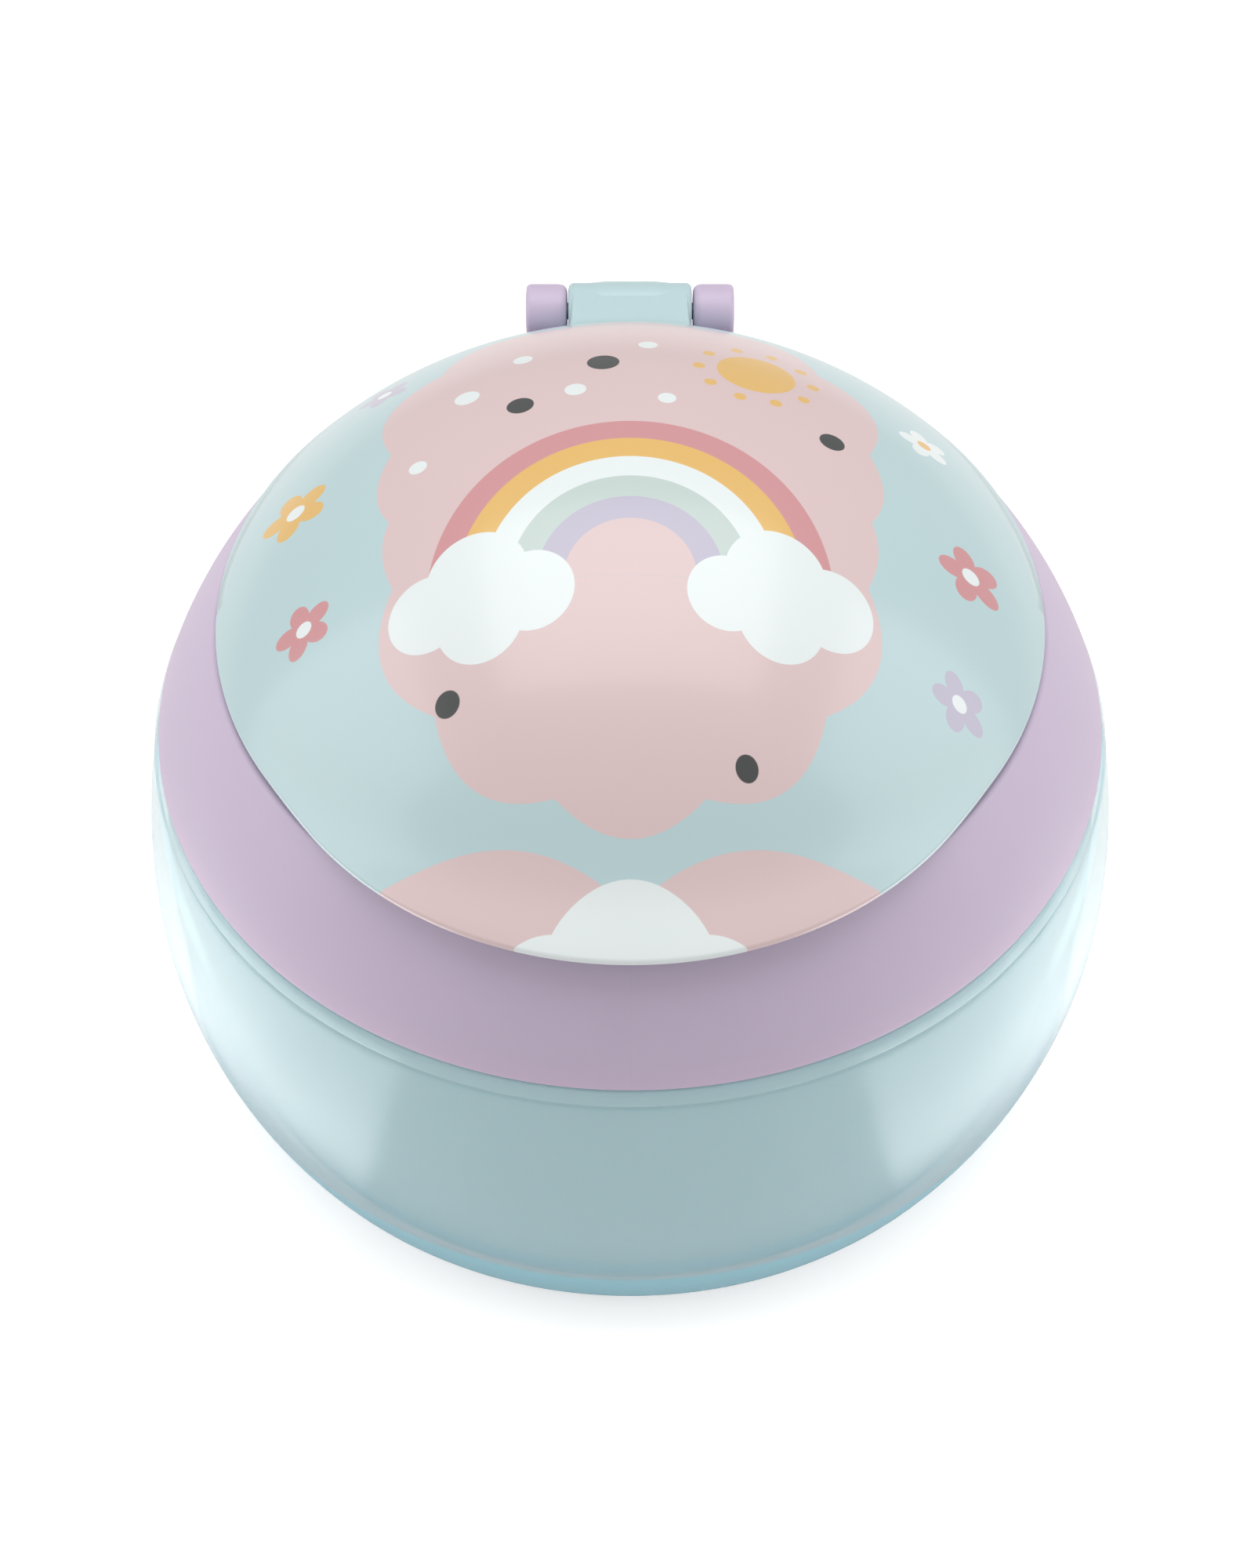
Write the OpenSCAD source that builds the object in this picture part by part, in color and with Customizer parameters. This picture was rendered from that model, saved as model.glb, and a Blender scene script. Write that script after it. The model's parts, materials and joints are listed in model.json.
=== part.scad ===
// Toddler snack container: a ball-shaped cup with a screw collar, soft hand flaps and a hinged dome lid.
// Millimetres, +Z up, the front thumb lip faces -Y. The origin is the centre of the base.

/* [Ball] */
// Radius of the ball that the whole cup follows
ball_r = 57.4; // [52:0.1:64]
// Height of the ball's centre over the base
ball_z = 30; // [27:0.5:32]

/* [Bowl] */
// How far the widest line of the bowl lies inside the ball
belly_inset = 0.9; // [0.4:0.1:1.4]
// How far the widest line lies under the ball's centre
belly_drop = 2; // [0:0.5:4]
// Radius of the side's curve under the widest line
belly_curve = 57; // [50:1:66]
// Height of the flat shoulder that the collar comes down to
shoulder_z = 47.6; // [45:0.1:49]
// Rounding of the bowl's bottom edge
foot_round = 5; // [3:0.5:7]
// Thickness of the bowl's side
bowl_wall = 2; // [1.4:0.1:2.6]
// Thickness of the bowl's floor
floor_t = 2.2; // [1.6:0.1:3]
// Width of the ring under the floor that the bowl stands on
foot_land = 8.1; // [4:0.1:14]
// Depth of the recess under the floor
recess_d = 0.6; // [0.3:0.1:1]
// Height of the bead under the collar
bead_h = 2; // [1:0.1:3]
// How far the bead stands out
bead_out = 0.2; // [0.1:0.05:0.4]
// Thickness of the neck
neck_wall = 1.8; // [1.4:0.1:2.4]
// Height of the plain neck over its thread
neck_lead_in = 1.1; // [0.6:0.1:1.6]

/* [Screw thread] */
// How far the thread climbs in one full turn
thread_lead = 11; // [8:0.5:12]
// Number of thread starts
thread_starts = 3; // [1:1:3]
// Angle that each ridge spans
ridge_span = 100; // [60:5:105]
// How far a ridge stands out of its wall
ridge_h = 1.1; // [0.8:0.1:1.4]
// Width of a ridge at its root
ridge_root_w = 1.6; // [1.3:0.1:1.8]
// Width of a ridge at its crest
ridge_crest_w = 0.9; // [0.6:0.1:1.1]
// Clearance round the thread
thread_gap = 0.4; // [0.3:0.05:0.5]

/* [Rim seal] */
// Thickness of the seal ring
seal_t = 1.6; // [1.2:0.1:2]
// Width of the seal ring
seal_w = 1.6; // [1.2:0.1:1.8]
// How far the seal ring lies inside the neck's outer face
seal_inset = 0.6; // [0.4:0.1:0.9]

/* [Collar] */
// How far the collar's face lies inside the ball
collar_inset = 0.4; // [0:0.1:0.6]
// Gap between the collar's lower edge and the bowl's shoulder
shoulder_gap = 0.4; // [0.3:0.1:0.6]
// Thickness of the collar's shell
collar_wall = 1.7; // [1.4:0.1:2]
// Height of the collar's top face over the seal ring
collar_rise = 4.82; // [4.4:0.02:6]
// Thickness of the deck inside the collar's top
deck_t = 1.8; // [1.4:0.1:2.2]
// Width of the collar's top face round the opening for the hand
bore_land = 6.5; // [6:0.1:9]
// Thickness of the tube round the opening
bore_wall = 1.8; // [1.6:0.1:2.2]
// How far the shelf under the flaps reaches inwards
shelf_w = 1.6; // [1:0.1:2]
// Thickness of the shelf under the flaps
shelf_t = 1.2; // [1:0.1:1.6]
// Depth of the groove that holds the flaps' ring
groove_d = 0.8; // [0.5:0.1:1]

/* [Flaps] */
// Thickness of the soft flaps
flap_t = 1; // [0.8:0.1:1.2]
// Thickness of the flaps' outer ring
flap_ring_t = 1.2; // [1:0.1:1.5]
// Width of the flaps' outer ring that shows in the opening
flap_ring_w = 9.5; // [9:0.1:13]
// Width of the slits between the flaps
slit_w = 0.5; // [0.4:0.1:1]
// Clearance at each flap's bending line
root_gap = 0.3; // [0.2:0.05:0.4]
// Clearance of the flaps' ring in its groove
ring_fit = 0.05; // [0.02:0.01:0.1]

/* [Lid] */
// Thickness of the dome
lid_wall = 1.8; // [1.4:0.1:2.2]
// Gap between the collar's top and the lid's rim
rim_gap = 0.6; // [0.4:0.1:0.8]
// How much of the dome's sharp rim is cut off
rim_cut = 0.25; // [0.1:0.05:0.4]
// Thickness of the plug ring inside the lid
plug_wall = 1.4; // [1:0.1:1.8]
// How far the plug ring reaches into the collar
plug_depth = 2.6; // [2:0.1:3.2]
// Clearance round the plug ring
plug_gap = 0.4; // [0.3:0.05:0.5]
// Height of the snap bead on the plug ring
snap_h = 0.2; // [0.1:0.05:0.25]
// How far the thumb lip stands out in front of the lid's rim
lip_reach = 3.4; // [2.5:0.1:4.5]
// How far forward the lip's round outline is centred
lip_forward = 8; // [7:0.1:9]
// Slope of the lip's upper face in degrees
lip_slope = 30; // [20:1:34]
// Thickness of the lip's edge
lip_edge = 1.2; // [0.8:0.1:1.6]
// Thickness of the printed film set into the dome
label_t = 0.25; // [0.2:0.05:0.4]
// Width of the plain border round the printed film
label_inset = 4.1; // [4:0.1:10]
// Clearance round the printed film
label_fit = 0.02; // [0.01:0.01:0.04]

/* [Hinge] */
// Radius of the hinge barrel
barrel_r = 3.4; // [3:0.1:3.6]
// Height of the hinge axis over the lid's rim
hinge_rise = 0.7; // [0.5:0.1:1]
// Gap between the lid's rim and the lugs' barrels
hinge_gap = 0.5; // [0.4:0.1:0.8]
// Width of the lid's knuckle
knuckle_w = 14.7; // [12:0.1:17]
// Width of the raised band on the knuckle
knuckle_band_w = 7.8; // [5:0.1:9]
// How far the band is raised
knuckle_band_h = 0.2; // [0.1:0.05:0.3]
// Width of each lug on the collar
lug_w = 4.85; // [4:0.05:6]
// Gap between the knuckle and each lug
lug_gap = 0.3; // [0.3:0.05:0.5]
// How far each lug reaches down the collar from the hinge axis
lug_drop = 7.8; // [6:0.1:10]
// Rounding of the barrels' edges
barrel_round = 0.7; // [0.4:0.1:1]
// Radius of the hinge pin
pin_r = 1; // [0.8:0.1:1.4]
// Clearance of the pin in the collar's lugs
pin_seat_gap = 0.02; // [0.01:0.01:0.04]
// Running clearance of the pin in the lid's knuckle
pin_run_gap = 0.06; // [0.03:0.01:0.1]
// How far the pin's ends lie inside the lugs
pin_recess = 0.3; // [0:0.1:1]

/* [Hidden] */

// Facets of each full circle
$fn = 96;
// Angle between the points of a curved outline
arc_step = 4;
// Angle between the sections of a thread ridge
ridge_step = 5;
// Height of a ridge's first section as a share of its full height, and the sections over which it rises
ridge_start = 0.25;
ridge_rise_steps = 2;
// How far a piece that is joined to another reaches into it
joint_depth = 0.4;
// Chamfer of small edges
edge_c = 0.4;
// Number of soft flaps
flap_count = 6;

// The ball's surfaces
collar_r = ball_r - collar_inset;
collar_in_r = collar_r - collar_wall;
lid_in_r = ball_r - lid_wall;
collar_bottom = shoulder_z + shoulder_gap;
collar_edge_r = ball_half(collar_r, ball_z, collar_bottom);

// The bowl's side: its widest line, and one curve under and one over it
belly_r = ball_r - belly_inset;
belly_z = ball_z - belly_drop;
belly_x = belly_r - belly_curve;
shoulder_r = collar_edge_r - bead_out;
shoulder_rise = shoulder_z - belly_z;
shoulder_in = belly_r - shoulder_r;
shoulder_curve = (shoulder_rise * shoulder_rise + shoulder_in * shoulder_in) / (2 * shoulder_in);
shoulder_x = belly_r - shoulder_curve;
recess_r = foot_x(0, foot_round, 0) - foot_land;

// The thread: the collar's ridges lie under the bowl's
thread_bottom = collar_bottom + 3 * edge_c;
ridge_slant = (ridge_root_w - ridge_crest_w) / 2;
ridge_pitch = ridge_crest_w + ridge_slant * (ridge_h - thread_gap) / ridge_h + thread_gap;
ridge_climb = thread_lead * ridge_span / 360;
collar_ridge_z = thread_bottom + ridge_root_w / 2 + edge_c / 4;
neck_ridge_z = collar_ridge_z + ridge_pitch;
thread_top = neck_ridge_z + ridge_climb + ridge_crest_w / 2;
thread_bore_r = ball_half(collar_in_r, ball_z, thread_top);
neck_r = thread_bore_r - thread_gap - ridge_h;
neck_in_r = neck_r - neck_wall;
neck_top = neck_ridge_z + ridge_climb + ridge_root_w / 2 + neck_lead_in;

seal_r = neck_r - seal_inset;
seal_in_r = seal_r - seal_w;
seal_top = neck_top + seal_t;

// The opening, the flaps in it and the plug ring over them
collar_top = seal_top + collar_rise;
bore_r = ball_half(collar_r, ball_z, collar_top) - bore_land;
deck_z = collar_top - deck_t;
bore_out_r = bore_r + bore_wall;
shelf_r = bore_r - shelf_w;
groove_r = bore_r + groove_d;
plug_r = bore_r - plug_gap;
plug_in_r = plug_r - plug_wall;
plug_bottom = collar_top - plug_depth;
flap_ring_top = plug_bottom - plug_gap;
flap_ring_z = flap_ring_top - flap_ring_t;
flap_mid_z = flap_ring_z + flap_ring_t / 2;
flap_root = bore_r - flap_ring_w;
flap_step = 360 / flap_count;
flap_hole_r = flap_root + flap_t / 2 + root_gap;

// The lid's rim, its thumb lip and film, and the hinge behind it
lid_bottom = collar_top + rim_gap;
lid_rim_r = ball_half(ball_r, ball_z, lid_bottom) - rim_cut;
lip_r = lid_rim_r + lip_reach - lip_forward;
label_r = lid_rim_r - label_inset;
lug_x = knuckle_w / 2 + lug_gap;
lug_out = lug_x + lug_w;
hinge_y = ball_half(lid_rim_r, 0, lug_x) + hinge_gap + barrel_r;
hinge_z = lid_bottom + hinge_rise;

aqua = [0.75, 0.86, 0.88];
aqua_clear = [0.60, 0.79, 0.84, 0.6];
lilac = [0.76, 0.70, 0.80];
soft_white = [0.93, 0.95, 0.95];
blush = [0.86, 0.78, 0.78];
steel = [0.75, 0.76, 0.78];

// Half width of a circle of radius r about height zc, at height z
function ball_half(r, zc, z) = sqrt(r * r - (z - zc) * (z - zc));

// Points on an arc about (cx, cz) from angle a0 to a1
function arc(cx, cz, r, a0, a1) =
    let (n = max(2, ceil(abs(a1 - a0) / arc_step)))
    [for (i = [0 : n]) let (a = a0 + (a1 - a0) * i / n) [cx + r * cos(a), cz + r * sin(a)]];

function reversed(list) = [for (i = [len(list) - 1 : -1 : 0]) list[i]];

// The bowl's side moved inwards by t: where its bottom rounding meets its floor at height z0
function foot_x(t, round, z0) = belly_x + ball_half(belly_curve - t - round, belly_z, z0 + round);
function foot_angle(t, round, z0) = -asin((belly_z - z0 - round) / (belly_curve - t - round));
function side_x(z, t) = shoulder_x + ball_half(shoulder_curve - t, belly_z, z);

// The side from the floor at height z0 up to height z, moved inwards by t
function side_line(t, round, z0, z) = concat(
    arc(foot_x(t, round, z0), z0 + round, round, -90, foot_angle(t, round, z0)),
    arc(belly_x, belly_z, belly_curve - t, foot_angle(t, round, z0) + arc_step, 0),
    arc(shoulder_x, belly_z, shoulder_curve - t, arc_step, asin((z - belly_z) / (shoulder_curve - t)))
);

module bowl_shell() {
    bead_z = shoulder_z - bead_h;
    bead_in = side_x(bead_z, 0) - bead_out;
    under_shoulder = shoulder_z - bowl_wall;
    bend_z = under_shoulder - bowl_wall;
    floor_z = recess_d + floor_t;
    rotate_extrude()
        polygon(concat(
            [[0, recess_d], [recess_r, recess_d], [recess_r + recess_d, 0]],
            side_line(0, foot_round, 0, bead_z - bead_out),
            [
                [bead_in, bead_z - bead_out],
                [bead_in, bead_z],
                [side_x(bead_z, 0) + bead_out, bead_z + 2 * bead_out],
                [collar_edge_r, shoulder_z - edge_c],
                [collar_edge_r - edge_c, shoulder_z],
                [neck_r, shoulder_z],
                [neck_r, neck_top - edge_c],
                [neck_r - edge_c, neck_top],
                [neck_in_r, neck_top],
                [neck_in_r, shoulder_z],
                [neck_in_r + bowl_wall / 2, under_shoulder + bowl_wall / 3],
                [neck_in_r + bowl_wall, under_shoulder]
            ],
            arc(side_x(bend_z, bowl_wall) - bowl_wall, bend_z, bowl_wall, 90, 0),
            reversed(side_line(bowl_wall, foot_round - bowl_wall / 2, floor_z, bend_z - bowl_wall / 2)),
            [[0, floor_z]]
        ));
}

// One thread ridge: r is its wall's radius, out is 1 outwards or -1 inwards, z is its lower end's height
module ridge(r, out, z) {
    steps = ceil(ridge_span / ridge_step);
    function rise(i) = min(1, ridge_start + (1 - ridge_start) * min(i, steps - i) / ridge_rise_steps);
    function section(i) =
        let (
            a = ridge_span * i / steps,
            zc = z + ridge_climb * i / steps,
            root = r - out * joint_depth,
            crest = r + out * ridge_h * rise(i),
            root_half = ridge_root_w / 2 + ridge_slant * joint_depth / ridge_h,
            crest_half = ridge_root_w / 2 - ridge_slant * rise(i)
        )
        [for (q = [[root, -root_half], [crest, -crest_half], [crest, crest_half], [root, root_half]])
            [q[0] * cos(a), q[0] * sin(a), zc + q[1]]];
    points = [for (i = [0 : steps]) for (p = section(i)) p];
    sides = [for (i = [0 : steps - 1]) for (k = [0 : 3])
        let (a = 4 * i + k, b = 4 * i + (k + 1) % 4)
        for (f = [[a, b + 4, a + 4], [a, b, b + 4]]) f];
    last = 4 * steps;
    ends = [[0, 2, 1], [0, 3, 2], [last, last + 1, last + 2], [last, last + 2, last + 3]];
    outward_faces = concat(sides, ends);
    polyhedron(points, out > 0 ? outward_faces : [for (f = outward_faces) reversed(f)]);
}

module ridges(r, out, z) {
    for (i = [0 : thread_starts - 1])
        rotate(i * 360 / thread_starts)
            ridge(r, out, z);
}

// Translucent bowl with its threaded neck
module bowl() {
    color(aqua_clear) {
        bowl_shell();
        ridges(neck_r, 1, neck_ridge_z);
    }
}

// Soft ring between the bowl's neck and the collar
module rim_seal() {
    color(soft_white)
        rotate_extrude()
            translate([seal_in_r, neck_top])
                square([seal_w, seal_t]);
}

// A barrel of the hinge along X with rounded ends, from x0 to x1
module barrel(x0, x1, r) {
    length = x1 - x0;
    translate([x0, hinge_y, hinge_z])
        rotate([90, 0, 90])
            rotate_extrude()
                polygon(concat(
                    [[0, 0]],
                    arc(r - barrel_round, barrel_round, barrel_round, -90, 0),
                    arc(r - barrel_round, length - barrel_round, barrel_round, 0, 90),
                    [[0, length]]
                ));
}

// A solid along X whose outline is drawn in Y and Z
module side_block(x0, x1, outline) {
    translate([x0, 0, 0])
        rotate([90, 0, 90])
            linear_extrude(x1 - x0)
                polygon(outline);
}

// A round bar along the hinge axis
module hinge_bar(half_length, r) {
    translate([-half_length, hinge_y, hinge_z])
        rotate([0, 90, 0])
            cylinder(h = 2 * half_length, r = r);
}

// The collar's lug on one side. Its back runs from the shell up to its barrel, which it meets at a tangent.
module lug() {
    foot_z = hinge_z - lug_drop;
    foot_y = ball_half(ball_half(collar_r, ball_z, foot_z), 0, lug_out);
    to_foot = norm([foot_y - hinge_y, lug_drop]);
    tangent = atan2(-lug_drop, foot_y - hinge_y) + acos(barrel_r / to_foot);
    barrel(lug_x, lug_out, barrel_r);
    side_block(lug_x, lug_out, [
        [hinge_y - ball_half(barrel_r, hinge_z, collar_top), collar_top],
        [foot_y - collar_wall, foot_z],
        [foot_y, foot_z],
        [hinge_y + barrel_r * cos(tangent), hinge_z + barrel_r * sin(tangent)]
    ]);
}

module collar_shell() {
    function shell_angle(z, r) = asin((z - ball_z) / r);
    rotate_extrude()
        polygon(concat(
            [[collar_edge_r - edge_c, collar_bottom]],
            arc(0, ball_z, collar_r,
                shell_angle(collar_bottom + edge_c, collar_r), shell_angle(collar_top - edge_c, collar_r)),
            [
                [ball_half(collar_r, ball_z, collar_top) - edge_c, collar_top],
                [bore_r + edge_c, collar_top],
                [bore_r, collar_top - edge_c],
                [bore_r, flap_ring_top],
                [groove_r, flap_ring_top],
                [groove_r, flap_ring_z],
                [shelf_r, flap_ring_z],
                [shelf_r, flap_ring_z - shelf_t],
                [bore_out_r, flap_ring_z - shelf_t],
                [bore_out_r, deck_z],
                [seal_in_r, deck_z],
                [seal_in_r, seal_top]
            ],
            arc(0, ball_z, collar_in_r, shell_angle(seal_top, collar_in_r), shell_angle(thread_top, collar_in_r)),
            [
                [thread_bore_r, thread_bottom],
                [ball_half(collar_in_r, ball_z, thread_bottom), thread_bottom - edge_c],
                [ball_half(collar_in_r, ball_z, collar_bottom), collar_bottom]
            ]
        ));
}

// Screw ring with the hand opening and the hinge's two lugs
module collar() {
    color(lilac) {
        difference() {
            union() {
                collar_shell();
                lug();
                mirror([1, 0, 0]) lug();
            }
            hinge_bar(lug_x, barrel_r + knuckle_band_h + lug_gap);
            hinge_bar(lug_out + edge_c, pin_r + pin_seat_gap);
        }
        ridges(thread_bore_r, -1, collar_ridge_z);
    }
}

// Soft outer ring of the flaps, snapped into the collar's groove
module flap_ring() {
    color(soft_white)
        translate([0, 0, flap_ring_z])
            difference() {
                cylinder(h = flap_ring_t, r = groove_r - ring_fit);
                rotate(flap_step / 2)
                    translate([0, 0, -edge_c])
                        linear_extrude(flap_ring_t + 2 * edge_c)
                            circle(r = flap_hole_r / cos(flap_step / 2), $fn = flap_count);
            }
}

// One soft wedge, round at its bending line
module flap(i) {
    half = flap_step / 2;
    root_half = flap_root * tan(half) - slit_w / 2 / cos(half);
    color(soft_white)
        rotate(i * flap_step)
            translate([0, 0, flap_mid_z]) {
                translate([0, 0, -flap_t / 2])
                    linear_extrude(flap_t)
                        polygon([
                            [slit_w / 2 / sin(half), 0],
                            [flap_root, -root_half],
                            [flap_root, root_half]
                        ]);
                translate([flap_root, -root_half, 0])
                    rotate([-90, 0, 0])
                        cylinder(h = 2 * root_half, r = flap_t / 2);
            }
}

module flap_1() { flap(0); }
module flap_2() { flap(1); }
module flap_3() { flap(2); }
module flap_4() { flap(3); }
module flap_5() { flap(4); }
module flap_6() { flap(5); }

// Steel pin through the lugs and the knuckle
module hinge_pin() {
    color(steel)
        hinge_bar(lug_out - pin_recess, pin_r);
}

module ball(r) {
    translate([0, 0, ball_z])
        sphere(r = r);
}

// Everything over the lid's lower face, out to radius r
module above_rim(r) {
    translate([0, 0, lid_bottom])
        cylinder(h = ball_r, r = r);
}

// The thumb lip: a low cone on an axis in front of the centre, whose inner part lies inside the dome
module lip() {
    lip_round = lip_edge / 2;
    run = lip_r / 4;
    slope_x = lip_r - lip_round + lip_round * sin(lip_slope) - run;
    slope_z = lip_round + lip_round * cos(lip_slope) + run * tan(lip_slope);
    translate([0, -lip_forward, lid_bottom])
        rotate_extrude()
            polygon(concat(
                [[0, 0]],
                arc(lip_r - lip_round, lip_round, lip_round, -90, 90 - lip_slope),
                [[slope_x, slope_z], [0, slope_z]]
            ));
}

// The lid's part of the hinge, bridged to the dome
module knuckle() {
    half = knuckle_w / 2;
    barrel(-half, half, barrel_r);
    barrel(-knuckle_band_w / 2, knuckle_band_w / 2, barrel_r + knuckle_band_h);
    side_block(-half, half, [
        [hinge_y, hinge_z + barrel_r],
        [ball_half(ball_r, ball_z, hinge_z + barrel_r) - lid_wall, hinge_z + barrel_r],
        [lid_rim_r - lid_wall, lid_bottom],
        [hinge_y - ball_half(barrel_r, 0, hinge_rise), lid_bottom]
    ]);
}

// Ring that plugs into the collar's opening, with its snap bead
module plug() {
    bead_z = (plug_bottom + collar_top) / 2;
    top_z = ball_z + ball_half(lid_in_r + joint_depth, 0, plug_r);
    rotate_extrude()
        polygon([
            [plug_in_r, plug_bottom],
            [plug_r - edge_c, plug_bottom],
            [plug_r, plug_bottom + edge_c],
            [plug_r, bead_z - 2 * snap_h],
            [plug_r + snap_h, bead_z],
            [plug_r, bead_z + 2 * snap_h],
            [plug_r, top_z],
            [plug_in_r, top_z]
        ]);
}

// The printed film's shell: out to radius r about the ball's centre, smaller all round by c
module film(r, c) {
    difference() {
        intersection() {
            ball(r);
            above_rim(label_r - c);
        }
        ball(ball_r - label_t + c);
    }
}

// Dome lid with its thumb lip, plug ring and hinge knuckle
module lid() {
    color(aqua)
        difference() {
            union() {
                difference() {
                    union() {
                        intersection() {
                            ball(ball_r);
                            above_rim(lid_rim_r);
                        }
                        lip();
                        knuckle();
                    }
                    ball(lid_in_r);
                    film(ball_r + edge_c, 0);
                }
                plug();
            }
            hinge_bar(lug_x, pin_r + pin_run_gap);
        }
}

// Printed film set flush into the dome
module lid_label() {
    color(blush)
        film(ball_r, label_fit);
}

bowl();
rim_seal();
collar();
flap_ring();
flap_1();
flap_2();
flap_3();
flap_4();
flap_5();
flap_6();
hinge_pin();
lid();
lid_label();
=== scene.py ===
"""Toddler snack container: its looks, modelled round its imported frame.

Metres, +Z up. The thumb lip faces -Y, and the origin is the centre of the base.
"""
import json
import logging
import math
from collections.abc import Callable, Sequence
from dataclasses import dataclass
from enum import Enum
from typing import Any

import bmesh
import bpy
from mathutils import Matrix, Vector


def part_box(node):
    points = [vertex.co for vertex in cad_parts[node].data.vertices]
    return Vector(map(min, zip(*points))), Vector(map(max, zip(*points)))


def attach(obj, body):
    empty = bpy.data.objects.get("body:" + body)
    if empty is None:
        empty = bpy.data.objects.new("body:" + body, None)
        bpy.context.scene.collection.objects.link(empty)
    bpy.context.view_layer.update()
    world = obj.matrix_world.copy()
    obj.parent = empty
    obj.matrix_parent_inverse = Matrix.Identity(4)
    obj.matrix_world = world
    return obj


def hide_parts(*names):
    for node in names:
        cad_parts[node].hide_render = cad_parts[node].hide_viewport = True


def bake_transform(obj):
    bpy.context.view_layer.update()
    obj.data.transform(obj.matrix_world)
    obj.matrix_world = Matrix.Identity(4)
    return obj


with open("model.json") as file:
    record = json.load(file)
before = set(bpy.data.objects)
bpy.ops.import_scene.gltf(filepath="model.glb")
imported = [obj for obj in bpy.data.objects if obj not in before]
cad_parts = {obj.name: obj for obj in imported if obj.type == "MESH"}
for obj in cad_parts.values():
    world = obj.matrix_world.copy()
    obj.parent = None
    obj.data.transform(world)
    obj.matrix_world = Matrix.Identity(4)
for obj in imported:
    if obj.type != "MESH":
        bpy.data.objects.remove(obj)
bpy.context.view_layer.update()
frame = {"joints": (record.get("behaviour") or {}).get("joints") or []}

LOG = logging.getLogger("snack_container")
MM = 0.001
TURN = 2 * math.pi
BACK = math.pi / 2
SEAL_WALL = 1.6 * MM

Profile = list[tuple[float, float]]
Place = tuple[float, float, float]
Colour = tuple[float, float, float]
Section = Callable[[float], Sequence[Place]]
Key = int | str
Mesh = bmesh.types.BMesh
Object = bpy.types.Object
Material = bpy.types.Material
Socket = bpy.types.NodeSocket


class Slot(Enum):
    """The record's material slots."""

    BOWL = "clear_aqua_plastic"
    COLLAR = "lilac_plastic"
    LID = "aqua_plastic"
    FILM = "printed_film"
    SILICONE = "soft_silicone"
    PIN = "pin_steel"


class Boolean(Enum):
    """How one solid is worked into another."""

    JOIN = "UNION"
    CUT = "DIFFERENCE"


# Small geometry


def clamp(value: float) -> float:
    """Returns the value kept between 0 and 1."""
    return max(0.0, min(1.0, value))


def ease(value: float) -> float:
    """Returns a smooth step from 0 to 1 as the value goes from 0 to 1."""
    value = clamp(value)
    return value * value * (3 - 2 * value)


def blended_max(a: float, b: float, width: float) -> float:
    """The larger of two heights, with the corner between them rounded.

    Args:
        a: One height.
        b: The other height.
        width: The difference in height under which the two blend.

    Returns:
        The blended height.
    """
    overlap = max(width - abs(a - b), 0.0)
    return max(a, b) + overlap * overlap / (4 * width)


def half_width(radius: float, height: float) -> float:
    """Returns a circle's half width at a height over its centre."""
    return math.sqrt(max(radius * radius - height * height, 0.0))


def arc(x: float, z: float, radius: float, start: float, end: float, count: int) -> Profile:
    """Points on an arc.

    Args:
        x: Centre, across.
        z: Centre, up.
        radius: The arc's radius.
        start: First angle, in degrees from the horizontal.
        end: Last angle.
        count: Number of points.

    Returns:
        The points, both ends included.
    """
    angles = [math.radians(start + (end - start) * i / (count - 1)) for i in range(count)]
    return [(x + radius * math.cos(a), z + radius * math.sin(a)) for a in angles]


def rounded(corners: Sequence[tuple[float, float, float]], steps: int = 5) -> Profile:
    """A line through corners, some of them rounded.

    Args:
        corners: Each corner's place across and up, and how far from it its rounding starts.
        steps: Points on each rounding.

    Returns:
        The line's points.
    """
    line: Profile = []
    for i, (x, z, trim) in enumerate(corners):
        if trim == 0:
            line.append((x, z))
            continue
        corner = Vector((x, z))
        before = Vector(corners[i - 1][:2]) - corner
        after = Vector(corners[(i + 1) % len(corners)][:2]) - corner
        first = corner + before.normalized() * trim
        last = corner + after.normalized() * trim
        for j in range(steps):
            t = j / (steps - 1)
            line.append(tuple(first * (1 - t) ** 2 + corner * 2 * t * (1 - t) + last * t * t))
    return line


def turn_angles(count: int, dense: Sequence[tuple[float, float, int]] = ()) -> list[float]:
    """The angles of a round piece's sections.

    Args:
        count: Sections spread evenly over the turn.
        dense: Stretches with more sections, each a first and a last angle and a count.

    Returns:
        The angles in rising order, from 0 up to one turn.
    """
    angles = {round(TURN * i / count, 6) for i in range(count)}
    for first, last, extra in dense:
        angles = {a for a in angles if not first < a < last}
        angles |= {round(first + (last - first) * i / extra, 6) for i in range(extra + 1)}
    return sorted(angles)


def swept(section: Section, angles: Sequence[float], closed: bool) -> Mesh:
    """Sweeps a section that changes on its way once round Z.

    Args:
        section: Gives the places of the section's stations at an angle, always as many.
        angles: The sections' angles, in rising order within one turn.
        closed: Whether the section's last station joins its first.

    Returns:
        The closed mesh.
    """
    rows = [section(angle) for angle in (*angles, angles[0])]
    if closed:
        rows = [(*row, row[0]) for row in rows]
    turns, stations = len(rows) - 1, len(rows[0]) - 1
    mesh = bmesh.new()
    bmesh.ops.create_grid(mesh, x_segments=stations, y_segments=turns, size=1)
    for vert in mesh.verts:
        row = rows[round((vert.co.y + 1) / 2 * turns)]
        vert.co = row[round((vert.co.x + 1) / 2 * stations)]
    bmesh.ops.remove_doubles(mesh, verts=mesh.verts, dist=0.002 * MM)
    bmesh.ops.recalc_face_normals(mesh, faces=mesh.faces)
    return mesh


def lathe(profile: Profile, steps: int, closed: bool = False) -> Mesh:
    """Returns the solid that a fixed profile makes when it turns about Z."""
    angles = turn_angles(steps)
    return swept(lambda a: [(r * math.cos(a), r * math.sin(a), z) for r, z in profile], angles, closed)


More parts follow.
